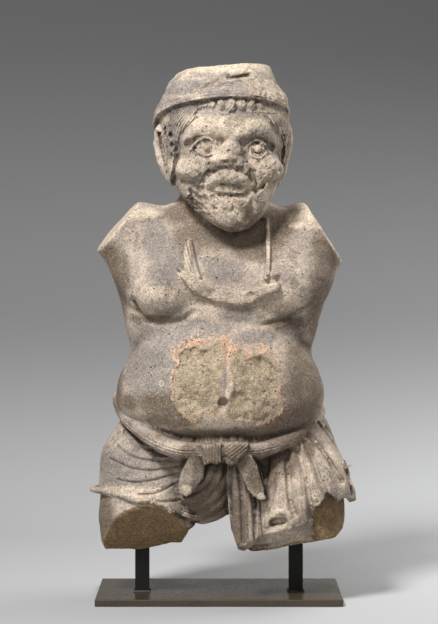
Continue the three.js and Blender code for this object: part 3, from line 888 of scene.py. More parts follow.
@dataclass
class Head:
    """The head, turned a little to the right, with its hair, cap and ears.

    Its own frame is u across, w to the back and t up, from the middle of the head.
    """

    at: Spot = (7, -25, 820)
    turn: float = 7.5
    face: Face = field(default_factory=Face)
    cap_left: Line = ((30, -126), (65, -124), (85, -115), (127, -92), (146, -76), (165, -60))
    cap_right: Line = ((30, 120), (62, 121), (80, 121), (96, 117), (114, 103), (143, 92), (165, 80))
    cap_front: Line = ((30, -113), (62, -113), (85, -109), (110, -99), (140, -81), (165, -62))
    cap_back: Line = ((30, 122), (62, 121), (85, 115), (110, 104), (140, 86), (165, 66))
    cap_flat: float = 148
    cap_slope: float = 0.07
    rim: float = 51.2
    rim_slope: float = 0.015
    rim_dip: float = 0.33
    rim_rib: float = 5.4
    slot: Line = ((-2, 124), (14, 128), (30, 131), (37, 133))
    scratches: tuple[Line, ...] = (
        ((-46, 104), (-24, 114), (-2, 124)),
        ((-20, 106), (6, 112), (24, 120)),
    )
    hair_reach: float = 115
    hair_high: float = 5
    window: Line = (
        (-44, 68), (-64, 44), (-79, 28), (-88, 10), (-91, -16), (-90, -200), (101, -200), (102, 8), (94, 25),
        (73, 45), (58, 68),
    )
    strand: float = 6.2
    groove: Chain = ((-105, -34, 38, 3), (-106, -30, 12, 4.5), (-103, -32, -28, 3.5))
    drilled: Chain = ((-100, -50, 22, 4), (-98, -52, 4, 3.5), (-99, -46, -16, 4), (105, -34, 24, 5))
    curls_at: Line = ((-31, 0.8), (-16, 0.95), (1, 1.1), (19, 1.0), (36, 1.08), (52, 0.9))
    curl_height: float = 73
    curl_size: Spot = (9.6, 9, 14)
    curl_reach: float = 104
    ear: Chain = (
        (114, -4, 42, 8), (118, 8, 30, 9), (119, 12, 8, 9), (113, 6, -20, 9), (105, -2, -46, 9),
        (96, -8, -62, 7),
    )
    ear_front: Chain = ((110, -16, 34, 6), (104, -22, 0, 5), (100, -20, -34, 5))
    ear_hollow: Chain = ((119, -10, 26, 5), (116, -12, 0, 6), (110, -12, -24, 5), (104, -14, -42, 4))
    ear_lump: tuple[Spot, Spot] = ((-114, -10, 32), (9, 9, 13))

    rib_deep: float = 2.1
    rim_out: float = 2.4
    rim_line: float = 1.6
    slot_deep: float = 8.5
    scratch_deep: float = 3.5
    strand_deep: float = 3.1
    curl_lines: float = 6.2

    def own(self, p: Array) -> Array:
        """Points in the head's own frame."""
        turn = math.radians(self.turn)
        across, back = p[0] - self.at[0], p[1] - self.at[1]
        u = across * math.cos(turn) + back * math.sin(turn)
        w = back * math.cos(turn) - across * math.sin(turn)
        return np.stack((u, w, p[2] - self.at[2]))

    def cap(self, q: Array) -> Array:
        """Distance to the flat cap, ribbed round and worn smooth at the right."""
        u, w, _ = q
        crown = oval(q, (self.cap_left, self.cap_right, self.cap_front, self.cap_back), 2.15)
        flat = beyond(q, (0, 0, self.cap_flat), (-self.cap_slope, 0, 1))
        rim = beyond(q, (0, 0, self.rim), (-self.rim_slope, self.rim_dip, 1))
        broken = self.bare(q)
        lines = 1 - ridge(rim / self.rim_rib + 0.3 * GRAIN.at(q, 30))
        lines = lines * ease(rim, 5, 10) * ease(rim, 44, 26)
        crown = crown + self.rib_deep * lines * (1 - broken) * (0.6 + 0.4 * GRAIN.at(q, 17))
        crown = crown - self.rim_out * ease(rim, 7.2, 6) + self.rim_line * bump(rim, 3.4, 1.6)
        crown = crown + broken * (1.0 + 2.3 * GRAIN.rough(q, 12, 3))
        crown = crown + 2.2 * GRAIN.rough(q, 38, 3) + 0.9 * GRAIN.rough(q, 9, 2)
        for line in self.scratches:
            crown = crown + self.scratch_deep * notch(u, q[2] + 2 * GRAIN.at(q, 7), line, 6) * (w < 0)
        up = q[2] + 4 + 1.6 * GRAIN.at(q, 8)
        slot = strip(u, up, rounded(self.slot), 2.2 + GRAIN.at(q, 11), 2.2)
        crown = crown + self.slot_deep * slot * (w < 0)
        return cut(cut(crown, -flat, 9), rim, 1.5)

    def bare(self, q: Array) -> Array:
        """Where the cap's ribs are broken away, from 0 to 1."""
        u, w, t = q
        return ease(u + 5 * GRAIN.at(q, 18), 23, 28) * ease(w, -20, -50) * ease(t, 136, 120)

    def locks(self, q: Array, skull: Array) -> Array:
        """Distance to the combed hair under the cap, which lies on the bare head."""
        u, w, t = q
        turn = np.arctan2(u, -w)
        fan = (190 - t) / 130
        combed = turn * self.hair_reach / np.clip(fan, 0.7, 2) / self.strand + 0.8 * GRAIN.at(q, 24)
        depth = self.strand_deep + 1.2 * GRAIN.at(q, 16)
        bare = ease(outline(u, t, rounded(self.window, closed=True)), 5, -4) * ease(w, 30, 0)
        high = self.hair_high * (1 - 1.5 * bare) + 5 * ease(np.abs(u), 70, 100)
        d = skull - high + depth * (1 - ridge(combed)) + 1.0 * GRAIN.rough(q, 11, 2)
        for spot in self.drilled:
            d = cut(d, egg(q, spot[:3], (spot[3], 8, spot[3] * 1.5)), 2)
        return np.maximum(d, -70 - t)

    def curls(self, q: Array) -> Array:
        """Distance to the row of curls under the rim."""
        d = np.full(q.shape[1], FAR, np.float32)
        for n, (across, size) in enumerate(self.curls_at):
            back = 4 - math.sqrt(self.curl_reach**2 - across**2)
            centre = (across, back, self.curl_height + 3 * (size - 1))
            lobe = egg(q, centre, tuple(size * r for r in self.curl_size))
            away = (q[0] - across) + (q[2] - self.curl_height) * (0.6 if n % 2 else -0.6)
            lines = 1 - ridge(away / self.curl_lines + 0.3 * GRAIN.at(q, 9))
            d = join(d, lobe + 1.5 * lines, 2)
        return d + 1.1 * GRAIN.rough(q, 8, 2)

    def ears(self, q: Array) -> Array:
        """Distance to both long ears, each with a hollow behind its rim."""
        m = np.stack((np.abs(q[0] - self.face.middle), q[1], q[2]))
        d = join(limb(m, self.ear), limb(m, self.ear_front), 8)
        d = cut(d, limb(m, self.ear_hollow), 2)
        d = join(d, egg(q, *self.ear_lump), 2)
        return d + 1.1 * GRAIN.rough(q, 12, 2)

    def form(self, p: Array) -> Array:
        """Distance to the whole head."""
        q = self.own(p)
        skull = self.face.skull(q)
        d = self.face.form(q, skull)
        d = join(d, self.locks(q, skull), 1.5)
        d = join(d, self.ears(q), 4)
        d = cut(d, limb(q, self.groove), 2)
        d = join(d, self.curls(q), 1.5)
        return join(d, self.cap(q), 1)


@dataclass
class Garland:
    """The worn garland that lies on the chest, and the two strands that it hangs from."""

    band: Line = (
        (-62, 590), (-44, 575), (-25, 564), (0, 554), (27, 549), (50, 551), (71, 558), (100, 570),
    )
    half: Line = ((-66, 8), (-40, 13), (0, 12), (40, 12), (72, 9), (104, 7))
    height: float = 10.5
    left_strands: tuple[Line, ...] = (
        ((-62, 652), (-53, 616), (-40, 586)), ((-51, 650), (-42, 608), (-34, 586)), ((-73, 604), (-50, 586)),
    )
    left_slit: Line = ((-45, 652), (-35, 606), (-29, 584))
    right_strand: Line = ((86, 690), (88, 650), (87, 610), (84, 586))
    right_slits: tuple[Line, ...] = (((80, 690), (80, 655), (83, 622)), ((94, 636), (93, 600)))
    lump: Flat = (99, 592)
    scar: Line = ((64, 536), (84, 552))

    left_strand_high: float = 6
    right_strand_high: float = 8
    lump_high: float = 10
    scar_high: float = 3
    slit_deep: float = 4
    right_slit_deep: tuple[float, float] = (7, 3.5)

    def relief(self, p: Array, d: Array) -> Array:
        """Raises the garland from the chest."""
        x, _, z = p
        ragged = 2.6 * GRAIN.rough(p, 13, 3)
        high = self.height + 2.2 * GRAIN.rough(p, 15, 2)
        rise = high * ease(self.away(p) + ragged, 1.5, -2.5)
        for line in self.left_strands:
            strand = strip(x, z, rounded(line), 3 + 0.4 * ragged, 1.8)
            rise = np.maximum(rise, self.left_strand_high * strand)
        strand = strip(x, z, rounded(self.right_strand), 4.5 + 0.3 * ragged, 2)
        rise = np.maximum(rise, self.right_strand_high * strand)
        lump = bump(np.hypot(x - self.lump[0], (z - self.lump[1]) * 1.2), 0, 12)
        rise = np.maximum(rise, self.lump_high * lump)
        rise = np.maximum(rise, self.scar_high * strip(x, z, self.scar, 1.4, 1.5))
        rise = rise - self.slit_deep * notch(x, z, rounded(self.left_slit), 3.4)
        for line, deep in zip(self.right_slits, self.right_slit_deep):
            rise = rise - deep * notch(x, z, line, 4)
        return d - rise

    def away(self, p: Array) -> Array:
        """Distance from the band's edge seen from the front, negative on the band."""
        return stroke(p[0], p[2], rounded(self.band)) - straight(p[0], self.half)


class Zone(Enum):
    """What the stone is like at a place, and where shade and light are painted on it: each is stored on the
    mesh, from 0 to 1.
    """

    # How enclosed a point is: the material darkens it with grime and painted shade.
    CREASE_DIRT_AND_SHADE = "crease"
    # Thin convex edges: worn pale, and painted as highlights too.
    WORN_AND_LIT_EDGE = "edge"
    FRESH = "fresh"
    CORE = "core"
    MAUVE = "mauve"
    # Brownish stain, and painted shade under the chin, the breasts, the belly and the left arm's stump.
    BROWN_AND_SHADE = "brown_and_shade"
    # Creamy pale stone, and painted light where a blot lifts shade, as on the curls under the cap's rim.
    CREAM_AND_LIT = "cream_and_lit"
    ROUGH = "rough"
    RIBBED = "ribbed"


def spread(p: Array, blots: Sequence[Knot], share: float = 0.5) -> Array:
    """How far soft blots cover points seen from the front.

    Args:
        p: Points, one row for each axis.
        blots: Each is a place across, a height, and its half sizes across and up.
        share: Which part of each blot is its soft border.

    Returns:
        From 0 to 1 for each point.
    """
    covered = np.zeros(p.shape[1], np.float32)
    for x, z, wide, tall in blots:
        reach = np.hypot((p[0] - x) / wide, (p[2] - z) / tall)
        covered = np.maximum(covered, ease(reach, 1 + share, 1 - share))
    return covered


@dataclass
class Stone:
    """The whole figure: every form joined, then broken and worn."""

    torso: Torso = field(default_factory=Torso)
    loins: Loins = field(default_factory=Loins)
    cloth: Cloth = field(default_factory=Cloth)
    sash: Sash = field(default_factory=Sash)
    head: Head = field(default_factory=Head)
    garland: Garland = field(default_factory=Garland)
    underside: Line = (
        (-216, 112), (-206, 92), (-151, 92), (-121, 96), (-90, 105), (-68, 107), (-54, 133), (-21, 141),
        (14, 148), (24, 132), (38, 92), (60, 91), (150, 114), (209, 119), (224, 129), (230, 150), (236, 182),
    )
    left_break: tuple[Spot, Spot] = ((-131, -100, 158), (0, -0.78, -0.63))
    sockets: tuple[Spot, ...] = ((-140, -23, 80), (140, -23, 100))
    socket_half: Spot = (13.4, 13.4, 46)
    feelers: Line = ((3, 0.3), (9, 0.4), (26, 0.3))
    rough_places: Chain = (
        (150, 640, 50, 40), (160, 590, 30, 60), (92, 545, 34, 22), (-150, 660, 40, 26), (108, 470, 44, 30),
    )

    def distance(self, p: Array) -> Array:
        """Distance to the finished stone."""
        z = p[2]
        d = np.full(p.shape[1], FAR, np.float32)
        low, high = (-FAR, -FAR, -FAR), (FAR, FAR, FAR)

        def waist(q: Array, _: Array) -> Array:
            thigh = limb(q, self.loins.left_thigh)
            return join(self.loins.form(q), self.cloth.form(q, thigh), 2)

        d = near(p, low, (FAR, FAR, 420), d, waist)
        d = near(p, (-FAR, -FAR, 230), high, d, lambda q, e: join(e, self.torso.form(q), 8))
        d = near(p, (-FAR, -FAR, 245), (FAR, FAR, 400), d, lambda q, e: join(e, self.sash.wind(q), 1.5))
        d = near(p, (-95, -FAR, 180), (105, -90, 315), d, self.sash.knot)
        d = near(p, (-110, -FAR, 520), (130, -20, 700), d, self.garland.relief)
        d = near(p, (-FAR, -FAR, 620), high, d, lambda q, e: join(e, self.head.form(q), 6))
        d = near(p, low, (FAR, FAR, 220), d, self.breaks)
        front = ease(p[1], 30, -20)
        d = d + (0.2 + 0.5 * front) * GRAIN.rough(p, 16, 2) + 1.3 * GRAIN.rough(p, 52, 2)
        rough = spread(p, self.rough_places) * front
        return d + rough * 0.9 * GRAIN.rough(p, 7, 2)

    def breaks(self, p: Array, d: Array) -> Array:
        """Breaks the legs off and sinks the posts' sockets."""
        face = -beyond(p, *self.left_break) + 0.9 * GRAIN.rough(p, 26, 2)
        d = np.where(p[0] < 0, cut(d, face, 2), d)
        d = cut(d, p[2] - straight(p[0], self.underside) + 0.9 * GRAIN.rough(p, 22, 2), 2)
        for centre in self.sockets:
            d = cut(d, block(p, centre, self.socket_half), 0.5)
        return d

    def plain(self, p: Array) -> Array:
        """Where the stone has no fine carving, from 0 to 1."""
        x, y, z = p
        carved = ease(z, 690, 700) * ease(z, 935, 925)
        carved = np.maximum(carved, ease(z, 320, 300) * ease(z, 100, 110) * ease(np.abs(x - 10), 100, 90))
        carved = np.maximum(carved, 0.4 * ease(z, 420, 390) * ease(z, 110, 130))
        carved = np.maximum(carved, 0.4 * ease(np.abs(z - 570), 40, 25) * ease(np.abs(x - 18), 110, 90))
        return 1 - carved * ease(y, 0, -30)

    def zones(self, p: Array, n: Array) -> dict[Zone, Array]:
        """What the finished stone is like at points of its surface, with the painted shade and light that
        the material lays on it.

        Args:
            p: Points, one row for each axis.
            n: The direction out of the stone at each point.

        Returns:
            A value from 0 to 1 at each point for each zone.
        """
        x, y, z = p
        front = ease(y, 0, -40)
        # How enclosed each point is, felt at three reaches out along the normal: the source of the painted
        # shade in creases.
        shut = sum(
            share * np.clip(1 - self.distance(p + n * reach) / reach, 0, 1) for reach, share in self.feelers
        )
        # How thin the stone is behind each point: thin edges are painted pale, partly as wear, partly as a
        # painted highlight.
        thin = np.clip(1 + self.distance(p - n * 5) / 5, 0, 1)
        q = self.head.own(p)
        fresh = np.zeros_like(x)
        for patch in self.torso.patches:
            edge = self.torso.patch_edge(p, patch) / (1 + 3.5 * ease(z, 425, 465))
            fresh = np.maximum(fresh, ease(edge, 7, -5) * (z < 520) * (z > 310) * front)
        in_face = (q[2] > -150) & (q[2] < 60) & (q[1] < -50)
        worn = self.head.face.wear(q[0], q[2]) * in_face
        core = ease(np.abs(beyond(p, *self.left_break)), 4, 1.5) * (x < 0) * (z < 190)
        core = np.maximum(core, ease(z - straight(x, self.underside), 5, 2))
        behind_pleats = (z < straight(x, self.cloth.fan_edge) - 1) * ease(x, 160, 168)
        core = np.maximum(core, behind_pleats * (z < 205))
        ends = self.cloth.broken_ends(p) * (z < 235)
        on_band = ease(self.garland.away(p), 4, 0) * (z > 530) * (z < 600)
        bare = self.head.bare(q) * (q[2] > 60)
        cream_and_lit = np.maximum(on_band, bare) * front
        for _, at, facing in self.torso.arms:
            here = (np.hypot(x - at[0], z - at[2]) < 90) & (np.abs(x) > 130)
            cream_and_lit = np.maximum(cream_and_lit, ease(np.abs(beyond(p, at, facing)), 4.5, 2) * here)
        # Creamy pale stone, with the blots' painted light on places such as the curls in the rim's shadow.
        cream_and_lit = np.maximum.reduce((cream_and_lit, 0.5 * worn, 0.8 * ends, spread(p, CREAM_AND_LIT_BLOTS) * front))
        rough = np.maximum.reduce((worn, fresh, bare, on_band, ends))
        return {
            Zone.CREASE_DIRT_AND_SHADE: shut,
            Zone.WORN_AND_LIT_EDGE: thin,
            Zone.FRESH: fresh,
            Zone.CORE: core,
            Zone.MAUVE: 0.25 * (1 - front) + spread(p, MAUVE_BLOTS, 0.8) * front,
            # Brownish stain with painted shade: the blots darken the places that lie in shade; the back gets
            # a little of the tone too.
            Zone.BROWN_AND_SHADE: 0.15 * (1 - front) + spread(p, BROWN_AND_SHADE_BLOTS, 0.85) * front,
            Zone.CREAM_AND_LIT: cream_and_lit,
            Zone.ROUGH: rough,
            Zone.RIBBED: 0.85 * ease(q[2], 52, 60) * ease(q[2], 144, 120) * (1 - bare),
        }


# Soft blots on the stone's front: place across, height, and half sizes across and up.
# Creamy blots: pale stone, and painted light, such as the band over the curls that lifts the rim's shadow.
CREAM_AND_LIT_BLOTS: Chain = (
    (-160, 704, 60, 12), (160, 690, 40, 20), (-100, 558, 24, 14), (6, 850, 50, 22), (84, 925, 26, 34),
    (-105, 868, 18, 16), (-60, 208, 12, 14), (76, 200, 8, 8), (-56, 622, 6, 34), (-60, 780, 30, 20),
    (10, 962, 100, 12), (-150, 205, 60, 10), (62, 770, 30, 24), (58, 150, 6, 40), (0, 720, 40, 30),
    (-112, 852, 16, 16), (0, 752, 30, 12), (4, 820, 22, 30), (66, 860, 30, 12), (70, 800, 24, 30),
    (88, 640, 4, 50), (20, 892, 50, 9), (8, 700, 40, 26),
)
MAUVE_BLOTS: Chain = (
    (-114, 656, 24, 50), (-100, 596, 32, 26), (-40, 496, 50, 18), (66, 480, 40, 14), (-60, 474, 40, 18),
    (-84, 850, 22, 40), (130, 500, 30, 30), (-80, 520, 30, 12), (10, 600, 40, 24), (-60, 925, 40, 14),
    (-120, 425, 56, 66), (-164, 240, 60, 40), (-70, 630, 30, 40), (-110, 480, 50, 30), (40, 520, 40, 14),
    (-96, 440, 40, 60),
)
# Brownish blots: partly stain, partly painted shade, as the head's shadow on the neck and chest, under the
# breasts and belly, and under the left arm.
BROWN_AND_SHADE_BLOTS: Chain = (
    (10, 268, 70, 30), (-20, 190, 56, 40), (130, 312, 60, 26), (32, 160, 22, 66), (90, 246, 18, 36),
    (188, 520, 26, 150), (-54, 276, 16, 20), (10, 672, 84, 40), (60, 640, 44, 26), (96, 672, 34, 34),
    (152, 400, 40, 80), (200, 160, 60, 30), (-198, 606, 30, 40), (-184, 550, 18, 70), (-206, 150, 18, 50),
    (-70, 706, 34, 26), (-190, 400, 16, 60), (0, 308, 120, 12), (-84, 338, 50, 14), (120, 342, 60, 26),
    (200, 612, 14, 40), (-96, 364, 50, 20),
    (-160, 364, 20, 16), (66, 240, 18, 30), (122, 266, 18, 30), (-112, 512, 50, 8), (124, 504, 40, 12),
    (150, 452, 24, 26), (118, 682, 26, 26), (-178, 592, 18, 40), (160, 282, 12, 20), (4, 787, 22, 8),
    (-44, 722, 20, 12),
)


@dataclass
class Carver:
    """Lays a grid over a rough solid and presses it onto the finished stone."""

    stone: Stone
    coarse: float = 4.5
    medium: float = 3
    fine: float = 2.0
    quick_fine: float = 2.9
    triangles: int = 197000
    quick_triangles: int = 90000
    far_reach: float = 7
    fine_reach: float = 3
    coarse_pull: float = 8
    levels: int = 4
    protection: float = 6e-5
    step: float = 0.35
    plugs: tuple[tuple[Spot, Spot], ...] = (
        ((-60, -92, 300), (80, 66, 34)), ((10, -98, 296), (90, 78, 36)), ((90, -88, 302), (72, 60, 34)),
    )

    def press(self, mesh: bpy.types.Mesh, rounds: int, reach: float) -> None:
        """Moves the points of a mesh onto the stone, and evens them out between the rounds.

        Args:
            mesh: The mesh.
            rounds: How often each point is moved.
            reach: How far a point moves at most in one round.
        """
        p = points_of(mesh)
        pairs = np.empty(len(mesh.edges) * 2, np.int32)
        mesh.edges.foreach_get("vertices", pairs)
        corners = np.array(((1, -1, -1), (-1, -1, 1), (-1, 1, -1), (1, 1, 1)), np.float32)
        for left in range(rounds, 0, -1):
            d = [self.stone.distance(p + self.step * c[:, None]) for c in corners]
            slope = sum(c[:, None] * e for c, e in zip(corners, d)) / (4 * self.step)
            slope /= np.maximum((slope * slope).sum(0), 0.3)
            p -= slope * np.clip(sum(d) / 4, -reach, reach)
            if left > 1:
                p = self.even(p, pairs)
            else:
                p -= slope * np.clip(self.stone.distance(p), -1, 1)
        mesh.vertices.foreach_set("co", np.ascontiguousarray(p.T * MM, np.float32).ravel())
        mesh.update()

    def even(self, p: Array, pairs: Array) -> Array:
        """Moves points half way to the middle of their neighbours.

        Args:
            p: Points, one row for each axis.
            pairs: The two points of each edge, one edge after the other.

        Returns:
            The moved points.
        """
        count = p.shape[1]
        start, end = pairs[::2], pairs[1::2]
        beside = [np.bincount(start, row[end], count) + np.bincount(end, row[start], count) for row in p]
        return (0.5 * p + 0.5 * np.stack(beside) / np.bincount(pairs, minlength=count)).astype(np.float32)

    def carve(self, piece: bpy.types.Object) -> None:
        """Turns a rough solid into the finished stone.

        Args:
            piece: Holds the rough solid, and gets the finished mesh.
        """
        fine, triangles = self.fine, self.triangles
        self.fill(piece.data)
        for size, rounds in ((self.coarse, 3), (self.coarse, 3), (self.medium, 2), (fine, 2)):
            self.stone.sash.pull = self.coarse_pull if size == self.coarse else 1
            with_modifier(piece, "REMESH", mode="VOXEL", voxel_size=size * MM)
            if size == self.fine:
                self.refine(piece.data)
            self.press(piece.data, rounds, self.far_reach if size > fine else self.fine_reach)
        plain = self.stone.plain(points_of(piece.data))
        group = piece.vertex_groups.new(name="plain")
        for level in range(1, self.levels + 1):
            chosen = np.nonzero(np.ceil(np.maximum(plain, 0.1) * self.levels) == level)[0]
            group.add(chosen.tolist(), level / self.levels, "REPLACE")
        count = sum(len(f.vertices) - 2 for f in piece.data.polygons)
        with_modifier(
            piece, "DECIMATE", ratio=min(1.0, triangles / count), vertex_group="plain",
            vertex_group_factor=self.protection,
        )
        piece.vertex_groups.clear()
        piece.data.shade_smooth()

    def fill(self, mesh: bpy.types.Mesh) -> None:
        """Fills the rough solid's slot under the belly, so that no point starts deep inside the stone."""
        form = bmesh.new()
        form.from_mesh(mesh)
        for centre, radii in self.plugs:
            made = bmesh.ops.create_icosphere(form, subdivisions=4, radius=MM)["verts"]
            bmesh.ops.scale(form, vec=radii, verts=made)
            bmesh.ops.translate(form, vec=Vector(centre) * MM, verts=made)
        form.to_mesh(mesh)
        form.free()

    def refine(self, mesh: bpy.types.Mesh) -> None:
        """Halves the mesh's edges where the stone is finely carved."""
        plain = self.stone.plain(points_of(mesh))
        carved = (plain < 0.5).tolist()
        form = bmesh.new()
        form.from_mesh(mesh)
        edges = [e for e in form.edges if carved[e.verts[0].index] and carved[e.verts[1].index]]
        bmesh.ops.subdivide_edges(form, edges=edges, cuts=1, use_grid_fill=True)
        form.to_mesh(mesh)
        form.free()

    def mark(self, piece: bpy.types.Object) -> None:
        """Stores what the stone is like on every point of the mesh."""
        mesh = piece.data
        normals = np.empty(len(mesh.vertices) * 3, np.float32)
        mesh.vertex_normals.foreach_get("vector", normals)
        n = np.ascontiguousarray(normals.reshape(-1, 3).T, np.float32)
        for zone, values in self.stone.zones(points_of(mesh), n).items():
            layer = mesh.attributes.new(zone.value, "FLOAT", "POINT")
            layer.data.foreach_set("value", np.ascontiguousarray(values, np.float32))


def points_of(mesh: bpy.types.Mesh) -> Array:
    """The points of a mesh in millimetres, one row for each axis."""
    co = np.empty(len(mesh.vertices) * 3, np.float32)
    mesh.vertices.foreach_get("co", co)
    return np.ascontiguousarray(co.reshape(-1, 3).T / MM, np.float32)


def with_modifier(piece: bpy.types.Object, kind: str, **settings: object) -> None:
    """Adds a modifier with its settings to a piece, and makes its result the piece's own mesh."""
    modifier = piece.modifiers.new(kind.lower(), kind)
    for name, value in settings.items():
        setattr(modifier, name, value)
    graph = bpy.context.evaluated_depsgraph_get()
    made = bpy.data.meshes.new_from_object(piece.evaluated_get(graph))
    piece.modifiers.clear()
    old = piece.data
    piece.data = made
    bpy.data.meshes.remove(old)


def new_piece(name: str, form: bmesh.types.BMesh) -> bpy.types.Object:
    """Makes an object at the origin from a form, which is used up."""
    mesh = bpy.data.meshes.new(name)
    form.to_mesh(mesh)
    form.free()
    piece = bpy.data.objects.new(name, mesh)
    bpy.context.scene.collection.objects.link(piece)
    return piece


def copy_of_node(name: str, node: str) -> bpy.types.Object:
    """A new piece with the merged mesh of a node of the frame."""
    form = bmesh.new()
    form.from_mesh(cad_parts[node].data)
    bmesh.ops.remove_doubles(form, verts=form.verts, dist=1e-6)
    return new_piece(name, form)


class Recipe:
    """A material under construction: adds nodes and links them."""

    def __init__(self, name: str) -> None:
        """Starts a material with a name."""
        self.material = bpy.data.materials.new(name)
        self.material.use_nodes = True
        self.tree = self.material.node_tree
        self.shader = self.tree.nodes["Principled BSDF"]
        self.place = self.tree.nodes.new("ShaderNodeTexCoord").outputs["Object"]

    def feed(self, socket: Socket, value: Socket | float | Rgb) -> None:
        """Links a socket to another, or sets its value."""
        if isinstance(value, Socket):
            self.tree.links.new(value, socket)
        elif isinstance(value, tuple):
            socket.default_value = (*value, 1)
        else:
            socket.default_value = value

    def grain(
        self, scale: float, detail: float = 3, roughness: float = 0.55, warp: float = 0, stretch: float = 1,
    ) -> Socket:
        """Soft noise from 0 to 1.

        Args:
            scale: How many lumps there are to a metre.
            detail: How many finer layers it has.
            roughness: How strong the finer layers are.
            warp: How much it is twisted.
            stretch: How many times wider than tall its lumps are.

        Returns:
            The noise.
        """
        node = self.tree.nodes.new("ShaderNodeTexNoise")
        settings = {"Scale": scale, "Detail": detail, "Roughness": roughness, "Distortion": warp}
        for name, value in settings.items():
            node.inputs[name].default_value = value
        scaled = self.tree.nodes.new("ShaderNodeVectorMath")
        scaled.operation = "MULTIPLY"
        scaled.inputs[1].default_value = (1, 1, stretch)
        self.feed(scaled.inputs[0], self.place)
        self.feed(node.inputs["Vector"], scaled.outputs["Vector"])
        return node.outputs["Fac"]

    def cells(self, scale: float) -> Socket:
        """Distance to the nearest of many scattered points, of which there are scale to a metre."""
        node = self.tree.nodes.new("ShaderNodeTexVoronoi")
        node.inputs["Scale"].default_value = scale
        self.feed(node.inputs["Vector"], self.place)
        return node.outputs["Distance"]

    def zone(self, zone: Zone) -> Socket:
        """What is stored on the mesh for a zone."""
        node = self.tree.nodes.new("ShaderNodeAttribute")
        node.attribute_name = zone.value
        return node.outputs["Fac"]

    def step(self, value: Socket, low: float, high: float, start: float = 0, end: float = 1) -> Socket:
        """A soft step.

        Args:
            value: What decides.
            low: Where the step starts.
            high: Where it ends. It may be the lower one.
            start: Value before the step.
            end: Value after it.

        Returns:
            The stepped value.
        """
        node = self.tree.nodes.new("ShaderNodeMapRange")
        node.interpolation_type = "SMOOTHSTEP"
        flip = high < low
        ends = (high, low, end, start) if flip else (low, high, start, end)
        for name, number in zip(("From Min", "From Max", "To Min", "To Max"), ends):
            node.inputs[name].default_value = number
        self.feed(node.inputs["Value"], value)
        return node.outputs["Result"]

    def sum(self, kind: str, a: Socket | float, b: Socket | float) -> Socket:
        """Two values put together by one of Blender's operations, such as ADD."""
        node = self.tree.nodes.new("ShaderNodeMath")
        node.operation = kind
        self.feed(node.inputs[0], a)
        self.feed(node.inputs[1], b)
        return node.outputs["Value"]

    def ragged(self, zone: Zone, noise: Socket, strength: float) -> Socket:
        """A zone whose border is torn by noise, which has its middle at 0.5."""
        swing = self.sum("MULTIPLY", self.sum("SUBTRACT", noise, 0.5), strength)
        return self.sum("ADD", self.zone(zone), swing)

    def blend(self, share: Socket | float, a: Socket | Rgb, b: Socket | Rgb, kind: str = "MIX") -> Socket:
        """Two colours put together.

        Args:
            share: How much of the second there is.
            a: First colour.
            b: Second colour.
            kind: Blender's blend type.

        Returns:
            The colour.
        """
        node = self.tree.nodes.new("ShaderNodeMix")
        node.data_type = "RGBA"
        node.blend_type = kind
        self.feed(node.inputs["Factor"], share)
        self.feed(node.inputs[6], a)
        self.feed(node.inputs[7], b)
        return node.outputs[2]

    def relief(self, height: Socket, deep: float, below: Socket | None = None) -> Socket:
        """A bump.

        Args:
            height: Its height from 0 to 1.
            deep: Its full height in metres.
            below: A bump that it lies on.

        Returns:
            The bumped normal.
        """
        node = self.tree.nodes.new("ShaderNodeBump")
        node.inputs["Distance"].default_value = deep
        self.feed(node.inputs["Height"], height)
        if below is not None:
            self.feed(node.inputs["Normal"], below)
        return node.outputs["Normal"]

    def one_sided(self) -> None:
        """Makes the material clear where it is seen from its back."""
        nodes = self.tree.nodes
        mix = nodes.new("ShaderNodeMixShader")
        self.feed(mix.inputs[0], nodes.new("ShaderNodeNewGeometry").outputs["Backfacing"])
        self.feed(mix.inputs[1], self.shader.outputs["BSDF"])
        self.feed(mix.inputs[2], nodes.new("ShaderNodeBsdfTransparent").outputs["BSDF"])
        self.feed(nodes["Material Output"].inputs["Surface"], mix.outputs["Shader"])

    def finish(self, colour: Socket, roughness: Socket | float, normal: Socket) -> bpy.types.Material:
        """Feeds the shader and gives the material."""
        self.feed(self.shader.inputs["Base Color"], colour)
        self.feed(self.shader.inputs["Roughness"], roughness)
        self.feed(self.shader.inputs["Normal"], normal)
        return self.material


